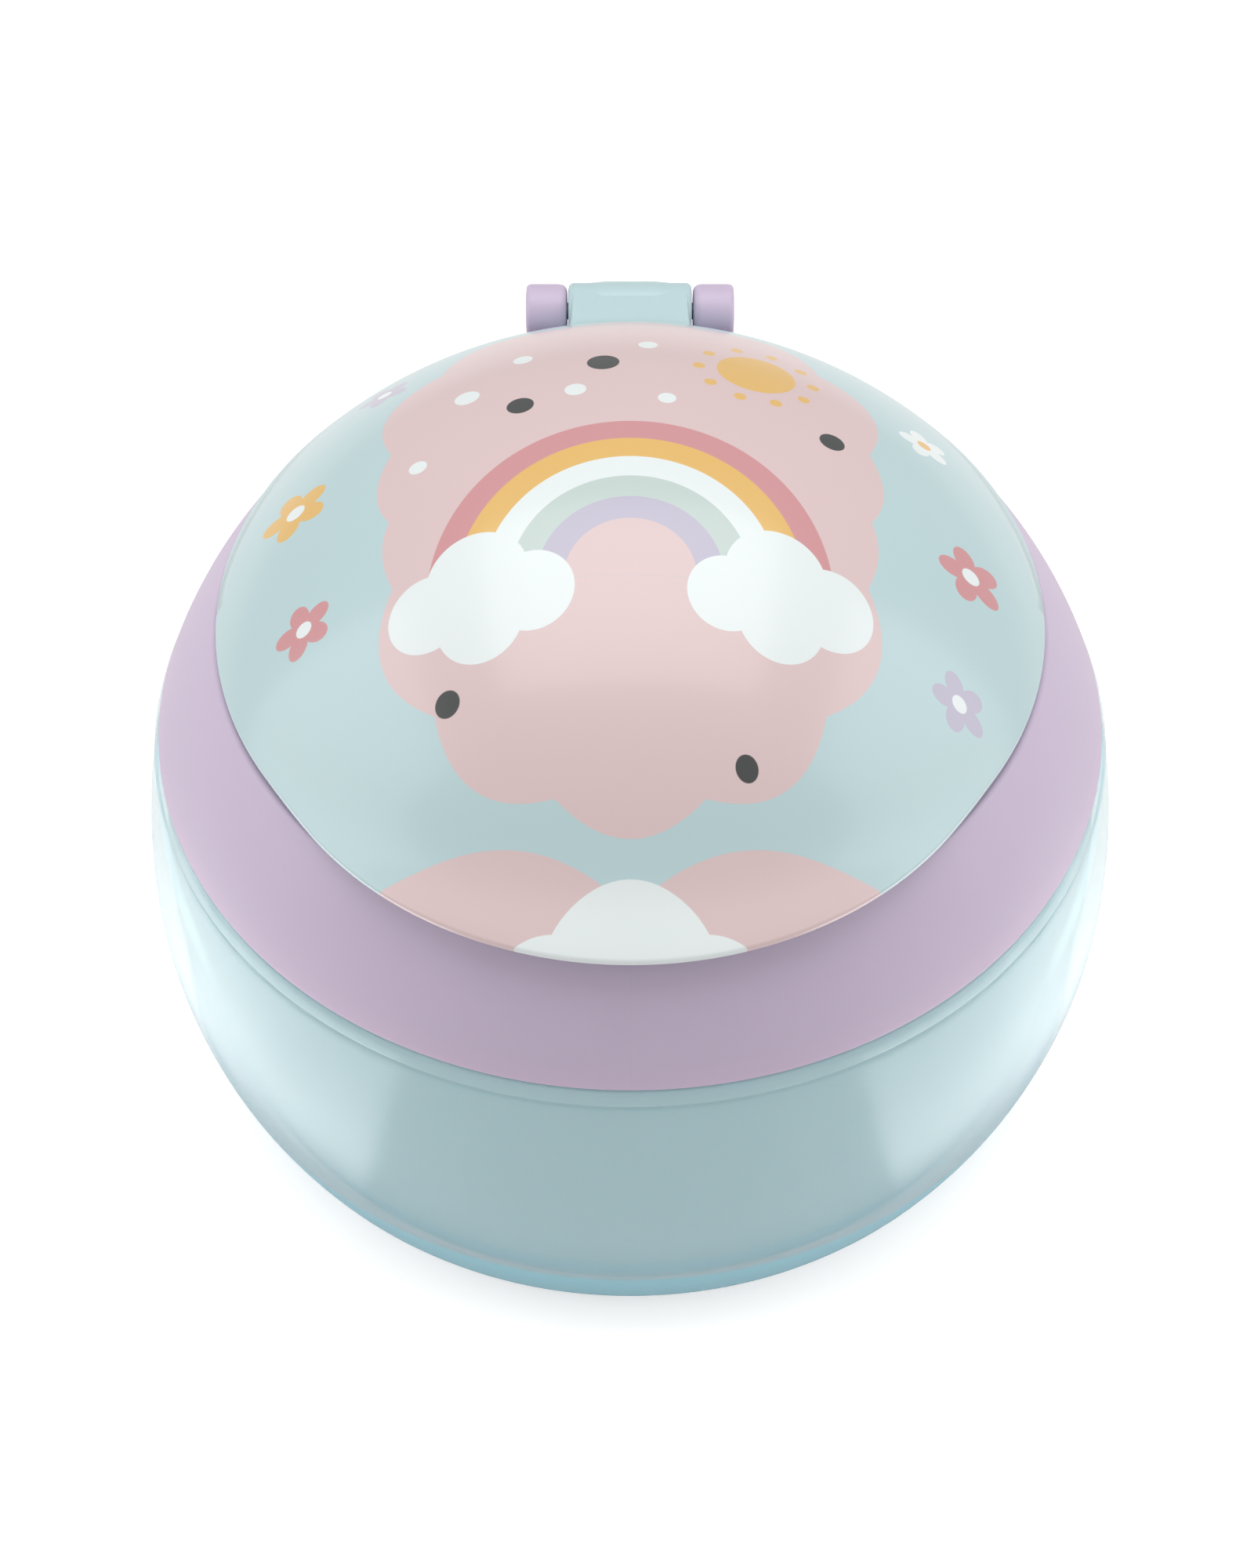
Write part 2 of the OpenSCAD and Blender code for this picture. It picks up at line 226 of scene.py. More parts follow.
def along_x(mesh: Mesh, centre: Vector) -> Mesh:
    """Returns the mesh with its Z axis laid along X, and moved to the centre."""
    for vert in mesh.verts:
        x, y, z = vert.co
        vert.co = (centre.x + z, centre.y + x, centre.z + y)
    return mesh


def new_object(name: str, mesh: Mesh, sharp: float = 40) -> Object:
    """Makes an object of a mesh that is finished with.

    Args:
        name: The object's name.
        mesh: The mesh, which is freed.
        sharp: Edges that bend by more degrees than this stay sharp.

    Returns:
        The object, at the origin.
    """
    data = bpy.data.meshes.new(name)
    mesh.to_mesh(data)
    mesh.free()
    made = bpy.data.objects.new(name, data)
    bpy.context.scene.collection.objects.link(made)
    smooth(made, sharp)
    return made


def smooth(piece: Object, sharp: float) -> None:
    """Shades a piece smooth, but for the edges that bend by more than sharp degrees."""
    piece.data.shade_smooth()
    piece.data.set_sharp_from_angle(angle=math.radians(sharp))


def worked(piece: Object, tool: Object, how: Boolean, sharp: float = 40) -> None:
    """Joins a solid to a piece or cuts it out, and removes the solid.

    Args:
        piece: The piece that is changed.
        tool: The solid that is used up.
        how: Whether it is joined or cut out.
        sharp: Edges that bend by more degrees than this stay sharp.
    """
    modifier = piece.modifiers.new("work", "BOOLEAN")
    modifier.operation = how.value
    modifier.solver = "EXACT"
    modifier.object = tool
    evaluated = piece.evaluated_get(bpy.context.evaluated_depsgraph_get())
    data = bpy.data.meshes.new_from_object(evaluated)
    piece.modifiers.clear()
    piece.data = data
    bpy.data.objects.remove(tool)
    smooth(piece, sharp)


def dressed(piece: Object, material: Material, body: str, nodes: Sequence[str], slot: Slot) -> None:
    """Gives a new piece its material and its body, and hides the nodes that it stands for.

    Args:
        piece: The piece.
        material: Its only material.
        body: The body that it rides on, or an empty name where it rides on none.
        nodes: The nodes that it replaces.
        slot: The record's slot of its finish. Not used.
    """
    piece.data.materials.clear()
    piece.data.materials.append(material)
    if body:
        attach(piece, body)
    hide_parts(*nodes)
    LOG.info("%s: %d faces, for %s", piece.name, len(piece.data.polygons), ", ".join(nodes))


# Shader maths


class Value:
    """A shader socket that Python's arithmetic works on."""

    def __init__(self, shader: "Shader", socket: Socket) -> None:
        """Keeps the socket and the shader that it belongs to."""
        self.shader = shader
        self.socket = socket

    def math(self, operation: str, *others: "Value | float") -> "Value":
        """Returns a Math node's result, with this value first."""
        return self.shader.node("ShaderNodeMath", {"operation": operation}, dict(enumerate((self, *others))))

    def __add__(self, other: "Value | float") -> "Value":
        """Returns the sum."""
        return self.math("ADD", other)

    __radd__ = __add__

    def __mul__(self, other: "Value | float") -> "Value":
        """Returns the product."""
        return self.math("MULTIPLY", other)

    def __sub__(self, other: "Value | float") -> "Value":
        """Returns the difference."""
        return self.math("SUBTRACT", other)

    def __rsub__(self, other: float) -> "Value":
        """Returns a number less this value."""
        return self.math("MULTIPLY", -1.0) + other

    def __truediv__(self, other: "Value | float") -> "Value":
        """Returns the quotient."""
        return self.math("DIVIDE", other)

    def __abs__(self) -> "Value":
        """Returns the absolute value."""
        return self.math("ABSOLUTE")

    def __or__(self, other: "Value") -> "Value":
        """Returns the smaller value, which is the union of two distances."""
        return self.math("MINIMUM", other)

    def __and__(self, other: "Value") -> "Value":
        """Returns the larger value, which is the overlap of two distances."""
        return self.math("MAXIMUM", other)

    def ramp(self, low: float, high: float) -> "Value":
        """Returns a smooth step from 0 at low to 1 at high."""
        settings = {"interpolation_type": "SMOOTHSTEP"}
        return self.shader.node("ShaderNodeMapRange", settings, {0: self, 1: low, 2: high, 3: 0.0, 4: 1.0})

    def inside(self, soft: float) -> "Value":
        """Returns 1 inside a shape whose signed distance this is, and 0 outside."""
        return self.ramp(soft, -soft)


class Shader:
    """The nodes of one material. Distances in it are in millimetres on the object."""

    def __init__(self, name: str) -> None:
        """Starts an empty material with one Principled shader."""
        self.material = bpy.data.materials.new(name)
        self.material.use_nodes = True
        self.tree = self.material.node_tree
        self.tree.nodes.clear()
        self.surface = self.tree.nodes.new("ShaderNodeBsdfPrincipled")
        output = self.tree.nodes.new("ShaderNodeOutputMaterial")
        self.tree.links.new(self.surface.outputs[0], output.inputs[0])
        position = self.node("ShaderNodeTexCoord", {}, {}, "Object")
        scaled = {"operation": "SCALE"}
        self.place = self.node("ShaderNodeVectorMath", scaled, {0: position, "Scale": 1 / MM})
        split = self.node("ShaderNodeSeparateXYZ", {}, {0: self.place})
        self.x = split
        self.y = Value(self, split.socket.node.outputs[1])
        self.z = Value(self, split.socket.node.outputs[2])

    def node(self, kind: str, settings: dict[str, Any], inputs: dict[Key, Any], output: Key = 0) -> Value:
        """Makes any node.

        Args:
            kind: The node's type.
            settings: Its properties, which are set first.
            inputs: Its sockets by number or name, each with a value to hold or a Value to link.
            output: The output that is wanted.

        Returns:
            The output's value.
        """
        made = self.tree.nodes.new(kind)
        for name, setting in settings.items():
            setattr(made, name, setting)
        for key, given in inputs.items():
            self.feed(made.inputs[key], given)
        return Value(self, made.outputs[output])

    def feed(self, socket: Socket, given: Any) -> None:
        """Links a Value to a socket, or sets the socket to a number or colour."""
        if isinstance(given, Value):
            self.tree.links.new(given.socket, socket)
        elif isinstance(given, tuple) and socket.type == "RGBA":
            socket.default_value = (*given, 1.0)
        else:
            socket.default_value = given

    def set(self, **inputs: Any) -> None:
        """Sets or links the surface's sockets, named with _ for each space."""
        for name, given in inputs.items():
            self.feed(self.surface.inputs[name.replace("_", " ")], given)

    def mix(self, share: Value | float, first: Any, second: Any) -> Value:
        """Returns the first colour where share is 0 and the second where it is 1."""
        return self.node("ShaderNodeMix", {"data_type": "RGBA"}, {0: share, 6: first, 7: second}, 2)

    def noise(
        self,
        size: float,
        detail: float = 2,
        rough: float = 0.5,
        seed: float = 0,
        stretch: Place = (1, 1, 1),
    ) -> Value:
        """Makes noise about 0.5.

        Args:
            size: How far across its lumps are.
            detail: How many finer layers it has.
            rough: How strong the finer layers are.
            seed: Moves the pattern.
            stretch: Squeezes the pattern along X, Y and Z.

        Returns:
            The noise, from 0 to 1.
        """
        mapping = {0: self.place, "Location": (seed, 0, 0), "Scale": stretch}
        where = self.node("ShaderNodeMapping", {}, mapping)
        sockets = {"Vector": where, "Scale": 1 / size, "Detail": detail, "Roughness": rough}
        return self.node("ShaderNodeTexNoise", {}, sockets)

    def specks(self, spacing: float, size: float, seed: float, share: float) -> Value:
        """Marks a few scattered specks.

        Args:
            spacing: The mean distance between the cells that may hold a speck.
            size: A speck's size.
            seed: Moves the pattern.
            share: How many of the cells hold one, from 0 to 1.

        Returns:
            1 on a speck and 0 elsewhere.
        """
        where = self.node("ShaderNodeMapping", {}, {0: self.place, "Location": (seed, seed, 0)})
        cells = self.node("ShaderNodeTexVoronoi", {}, {"Vector": where, "Scale": 1 / spacing})
        chosen = self.node("ShaderNodeSeparateXYZ", {}, {0: Value(self, cells.socket.node.outputs["Color"])})
        near = cells.ramp(size / spacing, 0.5 * size / spacing)
        return near * chosen.ramp(1 - share, 1 - 0.9 * share)

    def bump(self, height: Value, depth: float, under: Value | None = None) -> Value:
        """Returns a normal for a relief whose height goes from 0 to 1 over depth millimetres."""
        sockets: dict[Key, Any] = {"Height": height, "Distance": depth * MM, "Strength": 1.0}
        if under is not None:
            sockets["Normal"] = under
        return self.node("ShaderNodeBump", {}, sockets)

    def circle(self, x: float, y: float, radius: float) -> Value:
        """Returns the signed distance to a circle, seen from above."""
        plan = self.node("ShaderNodeCombineXYZ", {}, {0: self.x, 1: self.y, 2: 0.0})
        reach = self.node("ShaderNodeVectorMath", {"operation": "DISTANCE"}, {0: plan, 1: (x, y, 0)}, 1)
        return reach - radius

    def azimuth(self) -> Value:
        """Returns the angle from the front, in degrees, the same to the left and to the right."""
        return abs(self.x).math("ARCTAN2", self.y * -1.0) * math.degrees(1)


# Finishes


@dataclass(frozen=True)
class MouldedPlastic:
    """An opaque moulded plastic with a fine satin surface, and where given a painted glow along its lower
    edge.
    """

    name: str
    colour: Colour
    roughness: float
    coat: float
    depth: float = 0.2
    # Painted light: an optional paler colour painted along the lower edge, standing for light shining
    # through the thin plastic, and the height it starts from.
    painted_edge_glow: Colour | None = None
    painted_glow_from: float = 0.0
    seam: bool = False

    def material(self) -> Material:
        """Returns the material."""
        shader = Shader(self.name)
        cloud = shader.noise(9, 3, 0.55)
        mottle = shader.noise(0.9, 2, 0.5, 7)
        darker = tuple(c * 0.965 for c in self.colour)
        colour = shader.mix(cloud, darker, self.colour)
        # Painted glow: the lowest 3.2 mm are mixed up to 40% towards the glow colour.
        if self.painted_edge_glow:
            low = shader.z.ramp(self.painted_glow_from + 3.2, self.painted_glow_from)
            colour = shader.mix(low * 0.4, colour, self.painted_edge_glow)
        fibres = shader.specks(7, 0.16, 3.1, 0.10)
        colour = shader.mix(fibres * 0.55, colour, tuple(c * 0.45 for c in self.colour))
        rough = self.roughness + (cloud - 0.5) * 0.10 + (mottle - 0.5) * 0.06
        grain = shader.noise(0.35, 2, 0.6, 11)
        relief = shader.bump(grain, 0.0022)
        waves = shader.noise(14, 1, 0.4, 21)
        relief = shader.bump(waves, 0.045, relief)
        if self.seam:
            line = abs(shader.x).ramp(0.16, 0.02) * shader.y.ramp(0, -1)
            relief = shader.bump(line, 0.02, relief)
            colour = shader.mix(line * 0.35, colour, darker)
        shader.set(
            Base_Color=colour,
            Roughness=rough,
            Normal=relief,
            IOR=1.49,
            Subsurface_Weight=self.depth,
            Subsurface_Radius=(1.0, 0.9, 0.85),
            Subsurface_Scale=1.6 * MM,
            Coat_Weight=self.coat,
            Coat_Roughness=0.18,
        )
        return shader.material


@dataclass(frozen=True)
class TranslucentPlastic:
    """The bowl's hazy tinted plastic, thicker and bluer at its foot, with a painted highlight line above the
    foot and two streaks of painted shade at the sides.
    """

    name: str
    colour: Colour
    # deep: the bluer colour of the thick foot, also used for the painted shade streaks.
    deep: Colour
    foot_height: float
    haze: float
    # Where the two painted shade streaks lie, how they fall towards the front and how wide they are.
    streak_top: float = 46.3
    streak_side: float = 78.0
    streak_fall: float = 0.38
    streak_width: float = 2.6

    def material(self) -> Material:
        """Returns the material."""
        shader = Shader(self.name)
        cloud = shader.noise(12, 2, 0.5)
        foot = shader.z.ramp(self.foot_height + 0.9, self.foot_height - 0.9)
        # Painted highlight: bend marks a line just above the foot band, which is mixed a fifth of the way to
        # near-white.
        bend = abs(shader.z - self.foot_height - 1.7).ramp(1.4, 0.3)
        colour = shader.mix(cloud, tuple(c * 0.97 for c in self.colour), self.colour)
        colour = shader.mix(foot * 0.95, colour, self.deep)
        colour = shader.mix(bend * 0.2, colour, (0.95, 0.97, 0.97))
        # Painted shade: two streaks down the sides below the neck, darker, bluer and less clear; thick is
        # their mask.
        thick = self.painted_shade_streaks(shader)
        colour = shader.mix(thick * 0.35, colour, self.deep)
        waves = shader.noise(11, 2, 0.45, 5, (1, 1, 0.6))
        relief = shader.bump(waves, 0.12)
        scratches = shader.noise(0.9, 3, 0.7, 9, (1, 1, 0.12))
        scuffs = shader.specks(8, 0.2, 1.7, 0.08)
        colour = shader.mix(scuffs * 0.5, colour, (0.9, 0.95, 0.95))
        shader.set(
            Base_Color=colour,
            Roughness=0.3 + scratches.ramp(0.62, 0.8) * 0.12 + scuffs * 0.3,
            Alpha=self.haze + (foot * 0.4 + thick * 0.4) * (1 - self.haze),
            Normal=relief,
            IOR=1.49,
            Subsurface_Weight=0.3,
            Subsurface_Radius=(1.0, 1.1, 1.15),
            Subsurface_Scale=3 * MM,
            Coat_Weight=0.5,
            Coat_Roughness=0.05,
        )
        return shader.material

    def painted_shade_streaks(self, shader: Shader) -> Value:
        """Marks the two streaks of painted shade that run down from the neck's root, left and right."""
        azimuth = shader.azimuth()
        middle = self.streak_top - (self.streak_side - azimuth) * self.streak_fall
        width = self.streak_width + (shader.noise(7, 2, 0.5, 31) - 0.5) * 2
        across = abs(shader.z - middle) / width
        return across.ramp(1, 0.1) * azimuth.ramp(54, 66) * azimuth.ramp(100, 82)


@dataclass(frozen=True)
class SoftSilicone:
    """Soft, matt, slightly translucent silicone rubber."""

    name: str
    colour: Colour

    def material(self) -> Material:
        """Returns the material."""
        shader = Shader(self.name)
        cloud = shader.noise(6, 3, 0.6)
        grain = shader.noise(0.25, 2, 0.6, 4)
        dust = shader.specks(3, 0.12, 2.2, 0.10)
        colour = shader.mix(cloud, tuple(c * 0.94 for c in self.colour), self.colour)
        colour = shader.mix(dust * 0.5, colour, (0.62, 0.62, 0.6))
        shader.set(
            Base_Color=colour,
            Roughness=0.5 + (cloud - 0.5) * 0.16,
            Normal=shader.bump(grain, 0.004),
            IOR=1.41,
            Subsurface_Weight=0.55,
            Subsurface_Radius=(1.0, 1.0, 1.0),
            Subsurface_Scale=2.5 * MM,
            Sheen_Weight=0.08,
        )
        return shader.material


@dataclass(frozen=True)
class DrawnSteel:
    """Plain steel wire with lathe marks along it."""

    name: str
    colour: Colour

    def material(self) -> Material:
        """Returns the material."""
        shader = Shader(self.name)
        marks = shader.noise(0.25, 3, 0.6, 2, (0.15, 1, 1))
        colour = shader.mix(marks, tuple(c * 0.82 for c in self.colour), self.colour)
        shader.set(
            Base_Color=colour,
            Metallic=1.0,
            Roughness=0.26 + marks * 0.14,
            Normal=shader.bump(marks, 0.003),
        )
        return shader.material


@dataclass(frozen=True)
class PrintedFilm:
    """The glossy printed film: a rainbow over clouds on a pink field, between flowers."""

    name: str
    ground: Colour
    pink: Colour = (0.716, 0.552, 0.552)
    white: Colour = (0.80, 0.86, 0.855)
    rose: Colour = (0.637, 0.305, 0.319)
    mint: Colour = (0.546, 0.644, 0.610)
    lilac: Colour = (0.518, 0.491, 0.604)
    yellow: Colour = (0.783, 0.491, 0.156)
    charcoal: Colour = (0.062, 0.066, 0.066)
    soft: float = 0.06

    def material(self) -> Material:
        """Returns the material."""
        shader = Shader(self.name)
        colour = shader.mix(shader.noise(14, 1), tuple(c * 0.98 for c in self.ground), self.ground)
        cloud = shader.noise(12, 1, 0.5, 13)
        for shape, ink in self.inks(shader):
            printed = shader.mix(cloud, tuple(c * 0.98 for c in ink), ink)
            colour = shader.mix(shape.inside(self.soft), colour, printed)
        dust = shader.specks(8, 0.14, 5.3, 0.12)
        colour = shader.mix(dust * 0.5, colour, (0.35, 0.36, 0.38))
        relief = shader.bump(shader.noise(16, 1, 0.4, 3), 0.03)
        shader.set(
            Base_Color=colour,
            Roughness=0.31 + (shader.noise(9, 2, 0.5, 17) - 0.5) * 0.04,
            Normal=relief,
            IOR=1.49,
            Coat_Weight=0.35,
            Coat_Roughness=0.12,
        )
        return shader.material

    def inks(self, shader: Shader) -> list[tuple[Value, Colour]]:
        """Returns each shape of the print as a signed distance, with its ink, the lowest first."""
        circle = shader.circle
        field = self.scallops(shader, 0, 8, 27.5, 1.1, 10) | self.scallops(shader, 0, -12, 26.5, 1.1, 10)
        layers = [(field, self.pink)]
        bow_y, bow_r, band = -15.0, 21.5, 2.9
        over = bow_y - shader.y
        for i, ink in enumerate((self.rose, self.yellow, self.white, self.mint, self.lilac, self.pink)):
            layers.append((circle(0, bow_y, bow_r - band * i) & over, ink))
        hills = circle(-17, -66, 27) | circle(17, -66, 27)
        layers.append((hills, self.pink))
        puffs = circle(0, -52, 9.5) | circle(-8.5, -54, 7) | circle(8.5, -54, 7)
        layers.append((puffs, self.white))
        for side in (-1, 1):
            x = side * 15.7
            cloud = circle(x - 5.6, bow_y - 1.2, 4.2) | circle(x - 0.4, bow_y + 1.6, 5.4)
            cloud = cloud | circle(x + 5.4, bow_y - 0.8, 4.5) | circle(x, bow_y - 3.2, 4.6)
            layers.append((cloud, self.white))
        sun_x, sun_y, sun_r = 14.0, 19.0, 4.4
        layers.append((circle(sun_x, sun_y, sun_r), self.yellow))
        rays, ray_r = 10, sun_r + 2.0
        for i in range(rays):
            turn = TURN * i / rays
            x, y = sun_x + ray_r * math.cos(turn), sun_y + ray_r * math.sin(turn)
            layers.append((circle(x, y, 0.7), self.yellow))
        pale = ((-18, 15, 1.4), (-12, 22, 1.1), (-6, 13, 1.2), (2, 24, 1.1), (-23, 4, 1.0), (4, 11, 1.0))
        dark = ((-12, 11, 1.5), (-3, 19, 1.8), (22, 8, 1.4), (-19, -26, 1.3), (12, -33, 1.2))
        for dots, ink in ((pale, self.white), (dark, self.charcoal)):
            layers += [(circle(x, y, size), ink) for x, y, size in dots]
        for x, y, size, ink in (
            (-37, 6, 3.2, self.yellow),
            (-35, -12, 2.6, self.rose),
            (37, -4, 3.0, self.rose),
            (35, -20, 2.5, self.lilac),
            (33, 16, 2.4, self.white),
            (-28, 25, 2.5, self.lilac),
        ):
            layers.append((self.scallops(shader, x, y, size, size * 0.28, 5), ink))
            layers.append((circle(x, y, size * 0.33), self.white if ink != self.white else self.yellow))
        return layers

    def scallops(self, shader: Shader, x: float, y: float, radius: float, depth: float, count: int) -> Value:
        """Returns the signed distance to a round shape with a scalloped edge."""
        angle = (shader.y - y).math("ARCTAN2", shader.x - x)
        lobe = abs((angle * (count / 2)).math("SINE"))
        return shader.circle(x, y, radius) - (lobe - 0.6) * depth * 2


# Pieces


@dataclass(frozen=True)
class Ball:
    """The ball that the whole cup follows."""

    radius: float = 57.4 * MM
    height: float = 30 * MM

    def half_width(self, height: float, inset: float = 0.0) -> float:
        """Returns the ball's half width at a height over the base, for a ball smaller by inset."""
        return half_width(self.radius - inset, height - self.height)

    def top(self, radius: float, inset: float = 0.0) -> float:
        """Returns the height of the ball's upper side at a radius from the axis."""
        return self.height + half_width(self.radius - inset, radius)


@dataclass(frozen=True)
class Thread:
    """The screw thread between bowl and collar."""

    lead: float = 11 * MM
    starts: int = 3
    span: float = math.radians(100)
    height: float = 1.1 * MM
    root: float = 1.6 * MM
    crest: float = 0.9 * MM
    run_in: float = math.radians(9)

    def rise(self, angle: float, z: float, first: float) -> float:
        """How far the ridges stand out of their wall.

        Args:
            angle: The angle about the cup's axis.
            z: The height over the base.
            first: The height at which each ridge starts.

        Returns:
            The distance from the wall.
        """
        most = 0.0
        for start in range(self.starts):
            along = (angle - TURN * start / self.starts) % TURN
            if along > self.span:
                continue
            off = abs(z - first - self.lead * along / TURN)
            flank = clamp((self.root / 2 - off) / ((self.root - self.crest) / 2))
            end = ease(min(along, self.span - along) / self.run_in)
            most = max(most, self.height * flank * end)
        return most


@dataclass
class Bowl:
    """The translucent bowl with its threaded neck."""

    ball: Ball
    thread: Thread
    belly_r: float = 56.5 * MM
    belly_z: float = 28 * MM
    belly_curve: float = 57 * MM
    wall: float = 2 * MM
    floor: float = 2.2 * MM
    foot_round: float = 6.2 * MM
    foot_land: float = 8.1 * MM
    recess: float = 0.6 * MM
    shoulder: float = 47.8 * MM
    bead: float = 2.2 * MM
    bead_out: float = 0.2 * MM
    neck_r: float = 47.76 * MM
    neck_wall: float = 1.8 * MM
    first_ridge: float = 51.62 * MM
    steps: int = 288

    def __post_init__(self) -> None:
        """Works out the curves of the side from the collar's edge and the belly."""
        self.neck_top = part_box("bowl")[1].z
        self.edge_r = self.ball.half_width(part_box("collar")[0].z, 0.4 * MM) + 0.1 * MM
        rise = self.shoulder - self.belly_z
        inward = self.belly_r - self.edge_r + self.bead_out
        self.shoulder_curve = (rise * rise + inward * inward) / (2 * inward)
        self.line = self.profile()

    def side(self, z: float, inset: float = 0.0) -> float:
        """Returns the side's radius at a height, for a side moved inwards by inset."""
        curve = self.shoulder_curve if z > self.belly_z else self.belly_curve
        return self.belly_r - curve + half_width(curve - inset, z - self.belly_z)

    def flank(self, low: float, high: float, inset: float, count: int) -> Profile:
        """Returns points on the side from one height to another."""
        heights = [low + (high - low) * i / (count - 1) for i in range(count)]
        return [(self.side(z, inset), z) for z in heights]

    def foot(self, inset: float, bottom: float, radius: float) -> Profile:
        """Returns the rounding between a floor at the height bottom and the side."""
        reach = self.belly_curve - inset - radius
        drop = self.belly_z - bottom - radius
        x = self.belly_r - self.belly_curve + half_width(reach, drop)
        end = -math.degrees(math.asin(drop / reach))
        return arc(x, bottom + radius, radius, -90, end, 10)

    def profile(self) -> Profile:
        """Returns the bowl's section, from the middle of its underside round to the middle of its floor."""
        outer_foot = self.foot(0, 0, self.foot_round)
        recess_r = outer_foot[0][0] - self.foot_land
        inner_round = self.foot_round - self.wall / 2
        floor_z = self.recess + self.floor
        inner_foot = self.foot(self.wall, floor_z, inner_round)
        bead_z = self.shoulder - self.bead
        bend_z = self.shoulder - 2 * self.wall
        lip = 0.5 * MM
        neck_in = self.neck_r - self.neck_wall
        bead_r = self.side(bead_z)
        outer = [(0.0, self.recess)]
        outer += rounded(
            [(recess_r, self.recess, 0.4 * MM), (recess_r + self.recess, 0, 0.4 * MM), outer_foot[0] + (0,)]
        )
        outer += outer_foot[1:]
        outer += self.flank(outer_foot[-1][1] + MM, bead_z - 0.5 * MM, 0, 40)
        outer += rounded(
            [
                (bead_r, bead_z - 0.3 * MM, 0),
                (bead_r - self.bead_out, bead_z - 0.1 * MM, 0.1 * MM),
                (bead_r - self.bead_out, bead_z + 0.1 * MM, 0.1 * MM),
                (bead_r + self.bead_out, bead_z + 0.5 * MM, 0.2 * MM),
                (self.edge_r + 0.02 * MM, self.shoulder, 0.5 * MM),
                (self.neck_r, self.shoulder, 0.4 * MM),
            ]
        )
        neck = 30
        low = self.shoulder + 0.7 * MM
        high = self.neck_top - 0.6 * MM
        outer += [(self.neck_r, low + (high - low) * i / neck) for i in range(neck + 1)]
        inner = rounded(
            [
                (self.neck_r, self.neck_top, lip),
                (neck_in, self.neck_top, lip),
                (neck_in, self.shoulder - 0.2 * MM, 0.9 * MM),
                (neck_in + self.wall, self.shoulder - self.wall, 0.6 * MM),
            ]
        )
        corner = self.side(bend_z, self.wall) - self.wall
        inner += arc(corner, bend_z, self.wall, 88, 0, 8)
        inner += self.flank(bend_z - 0.5 * MM, inner_foot[-1][1] + MM, self.wall, 40)
        inner += inner_foot[::-1] + [(0.0, floor_z)]
        return outer + inner

    def section(self, angle: float) -> list[Place]:
        """Returns the bowl's section at an angle, with the thread on its neck."""
        places = []
        for r, z in self.line:
            if r == self.neck_r and self.shoulder < z < self.neck_top:
                r += self.thread.rise(angle, z, self.first_ridge)
            places.append((r * math.cos(angle), r * math.sin(angle), z))
        return places

    def build(self, finish: Material) -> None:
        """Models and dresses the bowl."""
        piece = new_object("bowl_shell", swept(self.section, turn_angles(self.steps), False))
        dressed(piece, finish, "bowl", ["bowl"], Slot.BOWL)


@dataclass
class Hinge:
    """The hinge's axis and sizes, which collar and lid share."""

    barrel_r: float = 3.4 * MM
    half_knuckle: float = 7.42 * MM
    band_half: float = 3.9 * MM
    band_rise: float = 0.18 * MM
    lug_r: float = 3.25 * MM
    lug_in: float = 7.55 * MM
    lug_out: float = 12.5 * MM
    lug_drop: float = 7.8 * MM
    pin_gap: float = 0.05 * MM

    def __post_init__(self) -> None:
        """Reads the axis and the pin off the frame."""
        joint = next(j for j in frame["joints"] if j["name"] == "lid_hinge")
        self.axis = Vector(joint["pos_m"])
        low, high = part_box("hinge_pin")
        self.pin_half = high.x
        self.pin_r = (high.z - low.z) / 2

    def bar(self, half_length: float, radius: float) -> Object:
        """Returns a plain round bar along the axis, to cut with."""
        profile = [(0, -half_length), (radius, -half_length), (radius, half_length), (0, half_length)]
        return new_object("bar", along_x(lathe(profile, 64), self.axis))

    def build_pin(self, finish: Material) -> None:
        """Models and dresses the pin, with its ends chamfered."""
        half, chamfer = self.pin_half, 0.2 * MM
        ends = [(0, -half, 0), (self.pin_r, -half, chamfer), (self.pin_r, half, chamfer), (0, half, 0)]
        profile = rounded(ends, 3)
        piece = new_object("pin", along_x(lathe(profile, 48), self.axis))
        dressed(piece, finish, "collar", ["hinge_pin"], Slot.PIN)


